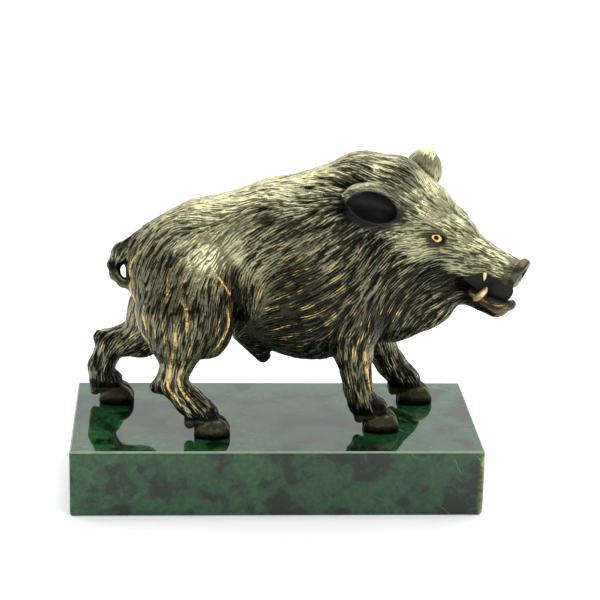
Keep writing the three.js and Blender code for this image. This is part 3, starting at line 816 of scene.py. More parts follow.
    def roots(self, grid: Field, rng: np.random.Generator) -> np.ndarray:
        """Roots spread evenly over the skin.

        Args:
            grid: The base form.
            rng: The source of chance.

        Returns:
            Root points on the skin.
        """
        points, _ = skinned(Field(grid.low, grid.cell * 2, grid.values[::2, ::2, ::2]))
        order = rng.permutation(len(points))
        spacing = math.sqrt(self.skin / self.strands) * self.packing
        taken: dict[tuple, list] = {}
        chosen = []
        for index in order:
            p = points[index]
            key = tuple(np.floor(p / spacing).astype(int))
            around = [
                q for dx in (-1, 0, 1) for dy in (-1, 0, 1) for dz in (-1, 0, 1)
                for q in taken.get((key[0] + dx, key[1] + dy, key[2] + dz), ())
            ]
            if all(
                (p[0] - q[0]) ** 2 + (p[1] - q[1]) ** 2 + (p[2] - q[2]) ** 2 > spacing ** 2 for q in around
            ):
                taken.setdefault(key, []).append(p)
                chosen.append(p)
        return np.array(chosen, np.float32)

    def traced(self, grid: Field) -> tuple[np.ndarray, np.ndarray]:
        """Follows the hair over the skin from every root.

        Args:
            grid: The base form.

        Returns:
            Strand points as strands by points by three, and rows of width and lift.
        """
        rng = np.random.default_rng(self.seed)
        p = self.roots(grid, rng)
        out = grid.slope(p)
        _, size = self.lay(p, out)
        kept = rng.random(len(p)) > self.bare(p) * self.thinning
        p, size = p[kept], size[kept]
        n = len(p)
        length = size[:, 0] * rng.uniform(*self.lengths, n)
        sway = rng.normal(0, self.sway, n)
        bend = rng.normal(0, self.bend, n)
        line = [p]
        for k in range(self.parts):
            out = grid.slope(p)
            way, _ = self.lay(p, out)
            across = np.cross(out, way)
            lean = sway + bend * (k / self.parts - 0.4)
            way = unit(way + across * lean[:, None])
            p = p + way * (length / self.parts)[:, None]
            p = p - grid.slope(p) * grid.sample(p)[:, None]
            line.append(p.astype(np.float32))
        strands = np.stack(line, 1)
        straight = np.linalg.norm(strands[:, -1] - strands[:, 0], axis=1) > self.straight * length
        width = self.fullness * size[:, 1] * rng.uniform(*self.widths, n)
        lift = size[:, 2] * rng.uniform(*self.lifts, n) * (1 - 0.7 * self.bare(strands[:, -1]))
        fit = straight & (self.bare(strands[:, -1]) < self.barest)
        return strands[fit], np.stack([width, lift], 1)[fit]

    def laid(self, grid: Field) -> Field:
        """Lays every strand over the base form.

        Args:
            grid: The base form.

        Returns:
            A new field with the coat carved.
        """
        strands, sizes = self.traced(grid)
        LOG.info("coat: %d strands", len(strands))
        values = grid.values.copy()
        flat_points = strands.reshape(-1, 3)
        outs = grid.slope(flat_points).reshape(strands.shape)
        count = strands.shape[1]
        swell = np.interp(np.linspace(0, 1, count), *self.swell)
        rise = np.interp(np.linspace(0, 1, count), *self.rise)
        for line, out, (width, lift) in zip(strands, outs, sizes):
            radius = (0.5 * width * swell).astype(np.float32)
            depth = radius - (lift * rise).astype(np.float32)
            axis = line - out * depth[:, None]
            low = np.floor((axis.min(0) - width - grid.low) / grid.cell).astype(int)
            high = np.ceil((axis.max(0) + width - grid.low) / grid.cell).astype(int) + 1
            low, high = np.maximum(low, 0), np.minimum(high, values.shape)
            box = tuple(slice(a, b) for a, b in zip(low, high))
            grids = np.ogrid[box]
            x, y, z = [(g * grid.cell + o).astype(np.float32) for g, o in zip(grids, grid.low)]
            near = None
            for i in range(count - 1):
                a, b = axis[i], axis[i + 1]
                d = b - a
                inv = 1.0 / max(float(d @ d), 1e-6)
                qx, qy, qz = x - a[0], y - a[1], z - a[2]
                h = np.clip((qx * d[0] + qy * d[1] + qz * d[2]) * inv, 0, 1)
                ex, ey, ez = qx - h * d[0], qy - h * d[1], qz - h * d[2]
                far = np.sqrt(ex * ex + ey * ey + ez * ez) - (radius[i] + (radius[i + 1] - radius[i]) * h)
                near = far if near is None else np.minimum(near, far)
            values[box] = smooth_min(values[box], near, self.seam)
        return Field(grid.low, grid.cell, values)

    def deepened(self, grid: Field, points: np.ndarray) -> np.ndarray:
        """Sinks the grooves and lifts the ridges of a carved skin.

        Args:
            grid: The base form.
            points: The skin's points.

        Returns:
            The moved points.
        """
        out = grid.slope(points)
        height = np.clip(grid.sample(points), -0.2, 1.2)
        push = (height - self.groove) * self.depth * (1 - self.bare(points)) * ramp(height, -0.1, 0.05)
        return (points + out * push[:, None]).astype(np.float32)


class Wire:
    """A node's output, so that shader maths is written as expressions."""

    def __init__(self, shader: "Shader", socket: bpy.types.NodeSocket) -> None:
        """Holds the socket and the material it belongs to."""
        self.shader = shader
        self.socket = socket

    def __add__(self, other: "Wire | float") -> "Wire":
        """self + other."""
        return self.shader.maths("ADD", self, other)

    __radd__ = __add__

    def __sub__(self, other: "Wire | float") -> "Wire":
        """self - other."""
        return self.shader.maths("SUBTRACT", self, other)

    def __rsub__(self, other: "Wire | float") -> "Wire":
        """other - self."""
        return self.shader.maths("SUBTRACT", other, self)

    def __mul__(self, other: "Wire | float") -> "Wire":
        """self * other."""
        return self.shader.maths("MULTIPLY", self, other)

    __rmul__ = __mul__

    def clamped(self) -> "Wire":
        """The value held between 0 and 1."""
        return self.shader.node("ShaderNodeClamp", {}, {0: self})

    def step(self, low: float, high: float) -> "Wire":
        """A smooth step from 0 at low to 1 at high."""
        settings = {"interpolation_type": "SMOOTHSTEP"}
        return self.shader.node("ShaderNodeMapRange", settings, {0: self, 1: low, 2: high, 3: 0.0, 4: 1.0})


class Shader:
    """The node tree of a material or a world, built node by node."""

    def __init__(self, owner: bpy.types.ID) -> None:
        """Empties the owner's tree.

        Args:
            owner: The material or the world.
        """
        self.owner = owner
        owner.use_nodes = True
        owner.node_tree.nodes.clear()

    def node(
        self, kind: str, settings: dict[str, Any], inputs: dict[Any, Any], output: Any = 0,
    ) -> "Wire | None":
        """Adds a node.

        Args:
            kind: The node's type.
            settings: Its properties, set before its sockets.
            inputs: Values or wires by socket name or number.
            output: The output that is wanted.

        Returns:
            That output, or None from a node that has none.
        """
        node = self.owner.node_tree.nodes.new(kind)
        for name, value in settings.items():
            setattr(node, name, value)
        for key, value in inputs.items():
            if isinstance(value, Wire):
                self.owner.node_tree.links.new(value.socket, node.inputs[key])
            else:
                node.inputs[key].default_value = value
        return Wire(self, node.outputs[output]) if node.outputs else None

    def maths(self, operation: str, *values: "Wire | float") -> Wire:
        """One Math node on the given values."""
        return self.node("ShaderNodeMath", {"operation": operation}, dict(enumerate(values)))

    def attribute(self, name: str, output: str = "Fac") -> Wire:
        """A value that the mesh carries at each point."""
        return self.node("ShaderNodeAttribute", {"attribute_name": name}, {}, output)

    def place(self) -> Wire:
        """The point's place in the object's own frame, in metres."""
        return self.node("ShaderNodeTexCoord", {}, {}, "Object")

    def noise(self, place: Wire, scale: float, detail: float = 3.0, roughness: float = 0.5) -> Wire:
        """Cloudy noise from 0 to 1, with its scale in cycles a metre."""
        inputs = {"Vector": place, "Scale": scale, "Detail": detail, "Roughness": roughness}
        return self.node("ShaderNodeTexNoise", {}, inputs)

    def strands(self, place: Wire, across: Wire, scale: float, frequency: float) -> Wire:
        """Draws fine lines side by side.

        Args:
            place: Where the lines are read.
            across: The direction in which one line follows another.
            scale: Cells of the pattern in a metre.
            frequency: Lines in a cell.

        Returns:
            Values from 0 to 1.
        """
        inputs = {"Vector": place, "Scale": scale, "Frequency": frequency, "Anisotropy": 1.0}
        inputs["Orientation 3D"] = across
        return self.node("ShaderNodeTexGabor", {"gabor_type": "3D"}, inputs, "Value")

    def part(self, vector: Wire, axis: str) -> Wire:
        """One coordinate of a vector."""
        return self.node("ShaderNodeSeparateXYZ", {}, {0: vector}, axis)

    def bump(self, height: Wire, strength: float, distance: float) -> Wire:
        """A normal tilted by a height, whose depth is in metres."""
        inputs = {"Strength": strength, "Distance": distance, "Height": height}
        return self.node("ShaderNodeBump", {}, inputs, "Normal")

    def mix(self, factor: "Wire | float", first: Any, second: Any) -> Wire:
        """A blend of two colours."""
        colours = [c if isinstance(c, Wire) else (*c, 1.0) for c in (first, second)]
        return self.node("ShaderNodeMix", {"data_type": "RGBA"}, {0: factor, 6: colours[0], 7: colours[1]}, 2)

    def surface(self, sockets: dict[str, Any]) -> bpy.types.ID:
        """Ends the material in one Principled surface.

        Args:
            sockets: The surface's values and wires by socket.

        Returns:
            The material.
        """
        shown = self.node("ShaderNodeBsdfPrincipled", {}, sockets)
        self.node("ShaderNodeOutputMaterial", {}, {"Surface": shown})
        return self.owner


def linear(r: int, g: int, b: int) -> Point:
    """A colour of the screen, each part from 0 to 255, as the renderer's linear light."""
    parts = [c / 255 for c in (r, g, b)]
    return tuple(c / 12.92 if c <= 0.04045 else ((c + 0.055) / 1.055) ** 2.4 for c in parts)


@dataclass(frozen=True)
class BronzeFinish:
    """Brown-green patina over bronze, dark in the grooves and rubbed to gold along some ridges, with painted
    light: paler on top and the head, darker low down, painted highlights on ridge tops and painted shade in
    creases and hollows.
    """

    # Dark patina of the grooves, also used as painted shade in closed creases and low on the flanks and
    # belly.
    groove: Point = linear(7, 8, 5)
    brown: Point = linear(56, 54, 33)
    green: Point = linear(40, 52, 38)
    # Painted highlight colour, laid on ridge tops and over the most strongly painted-lit parts.
    painted_highlight: Point = linear(200, 196, 154)
    gold: Point = linear(234, 192, 112)
    # Painted shade colour: near black in the hollows of ears, mouth and nostrils and in the eye sockets.
    black: Point = linear(2, 5, 2)
    hairs: float = 330.0
    locks: float = 120.0
    hair_depth: float = 0.0005

    def material(self) -> bpy.types.Material:
        """Mixes the patina from what the mesh carries at each point.

        Returns:
            The patinated bronze.
        """
        s = Shader(bpy.data.materials.new("patinated_bronze"))
        place = s.place()
        # The pale value is the level of painted light at each point; the last value named is painted shade in
        # hollows and sockets.
        names = ("relief", "openness", "polish", "gilt", "pale", "painted_shade")
        relief, openness, polish, gilt, pale, painted_shade = (s.attribute(name) for name in names)
        painted_shade = painted_shade * (1 - gilt)
        coated = 1 - polish
        clouds = s.noise(place, 60, 4)
        specks = s.noise(place, 700, 3, 0.6)
        across = s.attribute("across", "Vector")
        lines = s.strands(place, across, self.hairs, 3.0)
        locks = s.strands(place, across, self.locks, 2.0)
        hair = (lines - 0.5) * coated
        bunch = (locks - 0.5) * coated * (1.4 - 0.4 * pale).clamped()
        height = (relief - 0.05 + hair + bunch * 0.5 + 0.5 * (specks - 0.5)).clamped()
        bright = (pale - 1).clamped()
        tone = s.mix(clouds.step(0.4, 0.62) * coated * 0.8, self.brown, self.green)
        # Painted shade: toward the groove colour where the painted light is low, down the flanks and belly.
        tone = s.mix((1 - pale).clamped() * 0.92, tone, self.groove)
        # Painted light: toward the highlight colour where the painted light is high, on the haunch, crest,
        # ears and head.
        tone = s.mix(((pale - 0.7) * 0.58).clamped(), tone, self.painted_highlight)
        # Dark patina in the hair's grooves, with painted shade in creases where the skin is closed in;
        # painted light thins both.
        shown = (height + 0.1 * bright).step(0.22, 0.58) * openness.step(0.1, 0.8)
        tone = s.mix(shown + 0.22 * bright * (1 - shown), self.groove, tone)
        # Painted highlight on the ridge tops, stronger under more painted light.
        tone = s.mix(height.step(0.56, 0.86) * (0.03 + 0.78 * pale).clamped(), tone, self.painted_highlight)
        patches = s.noise(place, 150, 3, 0.6).step(0.42, 0.56)
        worn = relief.step(0.52, 0.8) * patches * openness.step(0.5, 0.95)
        wear = (worn * lines.step(0.54, 0.64) * locks.step(0.48, 0.62) * coated + gilt).clamped()
        tone = s.mix(wear, tone, self.gold)
        # Painted shade: near black in the hollows and sockets, less on gilt.
        tone = s.mix(painted_shade, tone, self.black)
        rough = 0.38 - 0.12 * height + 0.2 * (specks - 0.5) - 0.14 * wear + 0.25 * painted_shade
        metal = 0.75 + 0.25 * wear - 0.75 * painted_shade
        return s.surface({
            "Base Color": tone, "Roughness": rough.clamped(), "Metallic": metal.clamped(),
            "Normal": s.bump(hair + 0.4 * specks, 0.8, self.hair_depth), "Specular IOR Level": 0.4,
        })


@dataclass(frozen=True)
class TuskFinish:
    """Cream-gold polished metal, browner in cloudy patches."""

    cream: Point = linear(246, 220, 164)
    amber: Point = linear(196, 140, 70)
    bump_depth: float = 0.0001

    def material(self) -> bpy.types.Material:
        """Mixes the tusks' metal.

        Returns:
            The polished metal.
        """
        s = Shader(bpy.data.materials.new("polished_tusk"))
        clouds = s.noise(s.place(), 500, 3)
        tone = s.mix(clouds.step(0.45, 0.8), self.cream, self.amber)
        rough = 0.26 + 0.1 * clouds
        bump = s.bump(clouds, 0.2, self.bump_depth)
        return s.surface({"Base Color": tone, "Roughness": rough, "Metallic": 0.55, "Normal": bump})


@dataclass(frozen=True)
class StoneFinish:
    """Polished mottled green stone with dark clots, pale specks and, toward one end, fine veins."""

    body: Point = linear(17, 70, 35)
    dark: Point = linear(4, 10, 8)
    pale: Point = linear(54, 104, 62)
    vein: Point = linear(176, 200, 160)
    glow: Point = linear(158, 172, 84)
    thin_x: tuple[float, float] = (0.0722, 0.0752)
    thin_y: tuple[float, float] = (-0.0362, -0.0335)
    veined_x: tuple[float, float] = (0.03, 0.05)
    vein_way: Point = (0.55, 0.6, 0.58)
    vein_pitch: float = 520.0

    def material(self) -> bpy.types.Material:
        """Mixes the stone, paler on its ground edges, with painted light glowing yellow through its thin
        right front edge.

        Returns:
            The polished stone.
        """
        s = Shader(bpy.data.materials.new("polished_green_stone"))
        place = s.place()
        drift = s.node("ShaderNodeVectorMath", {"operation": "MULTIPLY_ADD"}, {
            0: s.node("ShaderNodeTexNoise", {}, {"Vector": place, "Scale": 60.0, "Detail": 3.0}, "Color"),
            1: (0.012, 0.012, 0.012), 2: place,
        })
        along = s.part(place, "X")
        thin = along.step(*self.thin_x) * (1 - s.part(place, "Y").step(*self.thin_y))
        clots = s.noise(drift, 85, 5, 0.62)
        grains = s.noise(place, 420, 4, 0.7)
        tone = s.mix(grains.step(0.35, 0.7), self.body, self.pale)
        tone = s.mix(s.noise(place, 22, 3).step(0.35, 0.65) * 0.5, tone, self.body)
        tone = s.mix((clots + 0.3 * (grains - 0.5)).step(0.47, 0.6) * 0.85, tone, self.dark)
        inputs = {0: drift, 1: self.vein_way}
        sheet = s.node("ShaderNodeVectorMath", {"operation": "DOT_PRODUCT"}, inputs, "Value")
        wave = s.maths("ABSOLUTE", s.maths("SINE", sheet * self.vein_pitch))
        broken = s.noise(place, 90, 2).step(0.5, 0.62)
        veins = (1 - wave.step(0.0, 0.06)) * broken * along.step(*self.veined_x)
        tone = s.mix(veins * 0.5, tone, self.vein)
        # Painted light: a yellow glow as if light shone through the thin right front edge.
        tone = s.mix(thin * grains.step(0.3, 0.6) * 0.7, tone, self.glow)
        ground = s.attribute("ground")
        tone = s.mix(ground * (0.35 + 0.5 * grains), tone, self.vein)
        rough = (0.02 + 0.03 * grains + 0.4 * ground).clamped()
        return s.surface({"Base Color": tone, "Roughness": rough, "IOR": 1.5, "Specular IOR Level": 0.5})


def linked(name: str, data: bpy.types.ID) -> bpy.types.Object:
    """Makes an object of some data and links it to the scene.

    Args:
        name: The object's name.
        data: Its mesh, light or camera.

    Returns:
        The object.
    """
    item = bpy.data.objects.new(name, data)
    bpy.context.scene.collection.objects.link(item)
    return item


def made(name: str, points: np.ndarray, faces: Any, finish: bpy.types.Material) -> bpy.types.Object:
    """Makes a smooth-shaded mesh object.

    Args:
        name: The piece's name.
        points: Its points in metres.
        faces: Its faces, all with the same number of corners if they are an array.
        finish: Its material.

    Returns:
        The object, linked to the scene.
    """
    mesh = bpy.data.meshes.new(name)
    if isinstance(faces, np.ndarray):
        count, size = faces.shape
        mesh.vertices.add(len(points))
        mesh.vertices.foreach_set("co", np.asarray(points, np.float32).ravel())
        mesh.loops.add(count * size)
        mesh.loops.foreach_set("vertex_index", faces.astype(np.int32).ravel())
        mesh.polygons.add(count)
        mesh.polygons.foreach_set("loop_start", np.arange(0, count * size, size, dtype=np.int32))
    else:
        mesh.from_pydata([tuple(p) for p in points], [], [tuple(f) for f in faces])
    mesh.update(calc_edges=True)
    mesh.validate()
    mesh.polygons.foreach_set("use_smooth", np.ones(len(mesh.polygons), bool))
    mesh.materials.append(finish)
    return linked(name, mesh)


def bands(rings: int, turns: int, first: int = 0) -> list[tuple]:
    """Closes rings of points into a tube without ends.

    Args:
        rings: How many rings there are.
        turns: How many points each has.
        first: The number of the first ring's first point.

    Returns:
        Four-sided faces.
    """
    faces = []
    for ring in range(rings - 1):
        for i in range(turns):
            a = first + ring * turns + i
            b = first + ring * turns + (i + 1) % turns
            faces.append((a, a + turns, b + turns, b))
    return faces


def carry(piece: bpy.types.Object, layers: dict[str, np.ndarray]) -> None:
    """Stores values or vectors for each point of a piece.

    Args:
        piece: The piece.
        layers: Its values by their attribute's name.
    """
    for name, values in layers.items():
        kind, key = ("FLOAT_VECTOR", "vector") if values.ndim == 2 else ("FLOAT", "value")
        layer = piece.data.attributes.new(name, kind, "POINT")
        layer.data.foreach_set(key, values.astype(np.float32).ravel())


def turn_out(piece: bpy.types.Object) -> None:
    """Turns the faces of a closed piece outward.

    Args:
        piece: The piece.
    """
    mesh = bmesh.new()
    mesh.from_mesh(piece.data)
    bmesh.ops.recalc_face_normals(mesh, faces=mesh.faces)
    mesh.to_mesh(piece.data)
    mesh.free()


@dataclass
class Rubbing:
    """Long raised strands on the near legs and haunch, rubbed to bare gold."""

    radius: float = 0.34
    spacing: float = 1.6
    seam: float = 0.3
    bones: list[Bone] = field(default_factory=list)
    lines: tuple = (
        ((-47, -10, 68), (-52, -7, 62), (-53, -7, 51), (-52, -12, 44), (-48, -17, 38), (-46, -20, 35)),
        ((-48, -19, 49), (-47, -21, 41)),
        ((-39, -20, 63), (-40, -23, 56), (-40, -24, 52)),
        ((-35, -25, 54), (-33, -26, 49), (-33, -27, 42)),
        ((-24, -20, 63), (-20, -19, 57), (-18, -17, 53)),
        ((-19, -19, 49), (-18, -18, 43), (-20, -19, 37), (-25, -18, 30)),
        ((-38, -25, 33), (-39, -22, 25), (-40, -22, 19), (-35, -22, 13), (-32, -23, 8)),
        ((-34, -23, 27), (-36, -22, 22), (-35, -22, 18), (-30, -23, 12)),
        ((-37, -27, 42), (-37, -26, 35)),
        ((31, -20, 32), (32, -17, 23), (34, -16, 15)),
    )

    def laid(self, grid: Field) -> list[Bone]:
        """Lays the lines on a carved skin, as chains of short bones that taper to both ends.

        Args:
            grid: The carved form.

        Returns:
            The bones.
        """
        chains = []
        for line in self.lines:
            corners = np.array(line, np.float32)
            at = np.concatenate([[0], np.cumsum(np.linalg.norm(np.diff(corners, axis=0), axis=1))])
            count = max(3, int(at[-1] / self.spacing))
            steps = np.linspace(0, at[-1], count + 1)
            p = np.stack([np.interp(steps, at, corners[:, i]) for i in range(3)], 1).astype(np.float32)
            for _ in range(3):
                p = p - grid.slope(p) * grid.sample(p)[:, None]
            p[1:-1] = 0.25 * p[:-2] + 0.5 * p[1:-1] + 0.25 * p[2:]
            thick = self.radius * np.sin(np.linspace(0.25, math.pi - 0.25, count + 1)) ** 0.5
            chains += [Bone(tuple(p[i]), tuple(p[i + 1]), thick[i], thick[i + 1]) for i in range(count)]
        return chains

    def raised(self, grid: Field) -> None:
        """Raises the lines on a carved form.

        Args:
            grid: The carved form, which is changed.
        """
        self.bones = self.laid(grid)
        margin = 2
        for bone in self.bones:
            ends = np.array([bone.start, bone.end], np.float32)
            low = np.floor((ends.min(0) - margin - grid.low) / grid.cell).astype(int)
            high = np.ceil((ends.max(0) + margin - grid.low) / grid.cell).astype(int)
            box = tuple(slice(a, b) for a, b in zip(low, high))
            index = np.stack(np.mgrid[box], -1)
            p = (index.reshape(-1, 3) * grid.cell + grid.low).astype(np.float32)
            near = bone.distance(p).reshape(index.shape[:3])
            grid.values[box] = smooth_min(grid.values[box], near, self.seam)

    def worn(self, p: np.ndarray) -> np.ndarray:
        """Tells how bare the gold is.

        Args:
            p: Points, as rows.

        Returns:
            From 0 to 1 for each point.
        """
        reach = 3
        near = np.full(len(p), FAR, np.float32)
        for bone in self.bones:
            middle = 0.5 * (np.asarray(bone.start) + np.asarray(bone.end))
            close = np.flatnonzero(np.abs(p - middle).max(1) < reach)
            near[close] = np.minimum(near[close], bone.distance(p[close]))
        return 1 - ramp(near, 0.0, 0.4)


@dataclass
class Ground:
    """How drawn millimetres become the object's metres: one scale, and the height of the plinth's top."""

    grow: float
    rise: float

    def placed(self, p: np.ndarray) -> np.ndarray:
        """Drawn points, in metres in the object's frame."""
        return (np.asarray(p, float) * self.grow + np.array([0, 0, self.rise])) / MILLIMETRES


@dataclass
class Eye:
    """One eye: a gilt ring round a pupil dark with painted shade, set in its socket under the brow, with
    painted shade at its outer edge.
    """

    head: Head
    side: Side
    centre: Point = (10.3, 9.35, 0.5)
    wide: float = 1.12
    tall: float = 0.98
    turns: int = 40
    profile: tuple = (
        (0.0, -0.3), (0.35, -0.3), (0.62, -0.22), (0.8, 0.12), (0.95, 0.25), (1.15, 0.2), (1.35, 0.32),
        (1.6, 0.36), (1.8, 0.22), (1.92, -0.1), (1.95, -1.2),
    )

    def build(self, finish: bpy.types.Material, ground: Ground) -> bpy.types.Object:
        """Turns the profile round the eye's axis.

        Args:
            finish: The bronze.
            ground: How drawn places become the object's.

        Returns:
            The eye, riding with the casting.
        """
        s = self.side.value
        x, y, z = self.centre
        middle = np.array(self.head.at((x, y * s, z)))
        out = unit(self.head.way((0.16, s, 0.04)))
        ahead = unit(self.head.axes[0] - (self.head.axes[0] @ out) * out)
        up = np.cross(out, ahead) * -s
        turns = self.turns
        angles = np.arange(turns) * 2 * math.pi / turns
        rings = [
            middle + out * h + r * (self.wide * np.cos(a) * ahead + self.tall * np.sin(a) * up)
            for r, h in self.profile[1:] for a in angles
        ]
        points = np.array([middle + out * self.profile[0][1], *rings])
        faces = [(0, 1 + i, 1 + (i + 1) % turns) for i in range(turns)]
        faces += bands(len(self.profile) - 1, turns, 1)
        faces.append(tuple(1 + (len(self.profile) - 2) * turns + i for i in reversed(range(turns))))
        radius = np.array([0.0] + [r for r, _ in self.profile[1:] for _ in angles])
        piece = made(f"eye_{self.side.name.lower()}", ground.placed(points), faces, finish)
        turn_out(piece)
        full = np.ones(len(points))
        carry(piece, {
            "relief": 0.6 * full,
            "openness": full,
            "pale": full,
            "polish": full,
            "gilt": ramp(radius, 0.7, 0.95) * (1 - ramp(radius, 1.85, 1.97)),
            # Painted shade in the sunken pupil and at the outer edge.
            "painted_shade": (1 - ramp(radius, 0.6, 0.85)) + ramp(radius, 1.9, 1.95),
            "across": np.tile(np.array(up, np.float32), (len(points), 1)),
        })
        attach(piece, "root")
        return piece


@dataclass
class Tusk:
    """One smooth tusk, swept along its joints of the head's frame, as forward, left, up and radius."""

    head: Head
    side: Side
    name: str
    joints: tuple
    rings: int = 17
    turns: int = 16

    def build(self, finish: bpy.types.Material, ground: Ground) -> bpy.types.Object:
        """Sweeps a round section along the joints.

        Args:
            finish: The polished metal of the tusks.
            ground: How drawn places become the object's.

        Returns:
            The tusk, riding with the casting.
        """
        joints = np.array(self.joints, float)
        at = np.linspace(0, len(joints) - 1, self.rings)
        line = np.stack([np.interp(at, np.arange(len(joints)), joints[:, i]) for i in range(4)], 1)
        for _ in range(3):
            line[1:-1] = 0.25 * line[:-2] + 0.5 * line[1:-1] + 0.25 * line[2:]
        line[:, 1] *= self.side.value
        turns = self.turns
        points = []
        for i, row in enumerate(line):
            ahead = unit(line[min(i + 1, len(line) - 1), :3] - line[max(i - 1, 0), :3])
            u = unit(np.cross(ahead, (1, 0, 0)))
            v = np.cross(ahead, u)
            for k in range(turns):
                a = 2 * math.pi * k / turns
                points.append(self.head.at(tuple(row[:3] + row[3] * (math.cos(a) * u + math.sin(a) * v))))
        faces = bands(self.rings, turns)
        faces += [tuple(reversed(range(turns))), tuple((self.rings - 1) * turns + k for k in range(turns))]
        piece = made(f"{self.name}_{self.side.name.lower()}", ground.placed(np.array(points)), faces, finish)
        turn_out(piece)
        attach(piece, "root")
        return piece


@dataclass
class Figure:
    """The whole casting: trunk, tail, legs, head and ears under one carved coat, with its eyes and tusks.

    Lengths are in millimetres of the drawing. A joint is x, y, z and radius.
    """

    drawn_length: float = 159.0
    triangles: int = 195000
    cell: float = 0.36
    quick_cell: float = 0.75
    low: Point = (-73, -30, -1.5)
    high: Point = (92, 29, 104)
    shell_relief: float = 0.6
    bare_painted_light: float = 0.9
    rubbed: float = 0.75
    view: float = 3.0
    head: Head = field(default_factory=Head)
    tusks: tuple = (
        ("lower_tusk", ((29.2, 3.6, -19.4, 1.2), (30.3, 4.4, -17.4, 1.35), (31.5, 5.0, -15.2, 1.25),
                        (32.3, 5.2, -13.2, 0.95), (32.5, 5.1, -12, 0.3))),
        ("upper_tusk", ((29.6, 3.4, -5.6, 0.9), (30, 4.0, -7.6, 0.85), (30.4, 4.4, -9.4, 0.6),
                        (30.5, 4.5, -10.4, 0.12))),
    )
    ears: tuple = (
        Ear((32.4, -17, 87), (-0.857, -0.38, 0.33), (0.3, -0.95, -0.08), (11.5, 6.7, 7.4), 1.2, 1.5,
            ((27, -18.6, 91.4), (22, -20.9, 90.4))),
        Ear((54, 11, 92.2), (0.1, 0, 1), (0.35, 0.9, 0.1), (8.3, 6.7, 4.8), 1.4),
    )
    legs: tuple = (
        Leg(((-32, -7, 54.7, 17), (-35.3, -12, 42.7, 15), (-35.8, -14.8, 35.2, 10.2),
             (-36.2, -16.6, 27.5, 5.4), (-38.5, -17, 19.7, 4.6), (-32, -18, 12.2, 4.5),
             (-27.4, -18.5, 8, 4.6)), -23.8, -19,
            ((-38.5, -17, 19.7), (-44, -17, 17.5)), Ball((-25.5, -13, 43), (9.5, 8, 15.5))),
        Leg(((-34, 9, 50.7, 16), (-42, 12, 36.7, 12.5), (-50, 14.5, 25.9, 7), (-61, 16, 22.9, 4.8),
             (-65.2, 16, 13.4, 4.2), (-64.4, 16, 7.6, 4.4)), -59.4, 16, ((-61, 16, 22.7), (-65.8, 16, 25.7))),
        Leg(((26, -9, 54.7, 13), (27.3, -13, 39.7, 9), (27.8, -13.5, 29.7, 6.4), (28.9, -13.5, 22.2, 4.9),
             (30, -13.3, 15.7, 4.5), (31.9, -13, 9.6, 4.9)), 38.6, -13.2),
        Leg(((32, 9, 54.7, 13), (35.5, 13, 35.7, 8.5), (39.3, 15, 24.2, 5.7), (45.2, 16, 14.7, 4.9),
             (49.6, 16, 9.6, 4.8)), 54.2, 16),
    )

    def form(self) -> Worked:
        """Joins the parts of the body into the bare figure.

        Returns:
            The bare figure.
        """
        parts = [Trunk(), self.head, *self.legs, Tail(), *self.ears]
        return Worked([step for part in parts for step in part.steps()])

    def thinned(self, piece: bpy.types.Object) -> None:
        """Collapses the piece's mesh to the figure's count of triangles.

        Args:
            piece: The casting.
        """
        count = sum(len(p.vertices) - 2 for p in piece.data.polygons)
        modifier = piece.modifiers.new("thin", "DECIMATE")
        modifier.ratio = min(1.0, self.triangles / count)
        modifier.use_collapse_triangulate = True
        evaluated = piece.evaluated_get(bpy.context.evaluated_depsgraph_get())
        mesh = bpy.data.meshes.new_from_object(evaluated)
        piece.modifiers.clear()
        piece.data = mesh

    def gilding(self, p: np.ndarray) -> np.ndarray:
        """Tells how rubbed the metal is on the lips and the rim of the snout.

        Args:
            p: Points, as rows.

        Returns:
            From 0 to 1 for each point.
        """
        own = self.head.own(p)
        folded = (own * folds(own)).astype(np.float32)
        low = Bone((27, 5.2, -17.3), (40, 2.5, -17), 1.0, 1.0)
        high = Bone((34, 4.2, -10), (40, 2.5, -9.6), 0.7, 0.7)
        near = np.minimum(low.distance(folded), high.distance(folded))
        return 1 - ramp(near, -0.2, 0.6)

    def painted_shade(self, p: np.ndarray) -> np.ndarray:
        """Paints shade: near black in the hollows of the ears, mouth and nostrils, painted shadow in the eye
        sockets and under the brows, and painted shade under the near ear's rim.

        Args:
            p: Points, as rows.

        Returns:
            From 0 to 1 for each point.
        """
        hollows = [ear.hollow for ear in self.ears] + self.head.mouth()
        near = np.min([mass.distance(p) for mass in hollows], axis=0)
        # Painted shadow in the eye sockets and under the brows.
        sockets = []
        for s in (side.value for side in Side):
            sockets.append(self.head.ball((10.3, 9.4 * s, 0.7), (3.6, 2, 2.5)))
            sockets.append(self.head.bone((6, 9.6 * s, 2.9), (14, 8.4 * s, 1.6), 0.7, 0.6))
        dark = np.min([mass.distance(p) for mass in sockets], axis=0)
        # Painted shade under the near ear's rim, where its hollow moved a little down and back lies.
        cup = self.ears[0].hollow
        below = Ball(tuple(np.asarray(cup.centre) - np.array([0.4, 0, 1.7])), cup.radii, cup.axes).distance(p)
        rim = 0.8 * (1 - ramp(below, 0.2, 1.4))
        return np.max([1 - ramp(near, 0.1, 0.7), 0.85 * (1 - ramp(dark, -0.3, 0.5)), rim], axis=0)

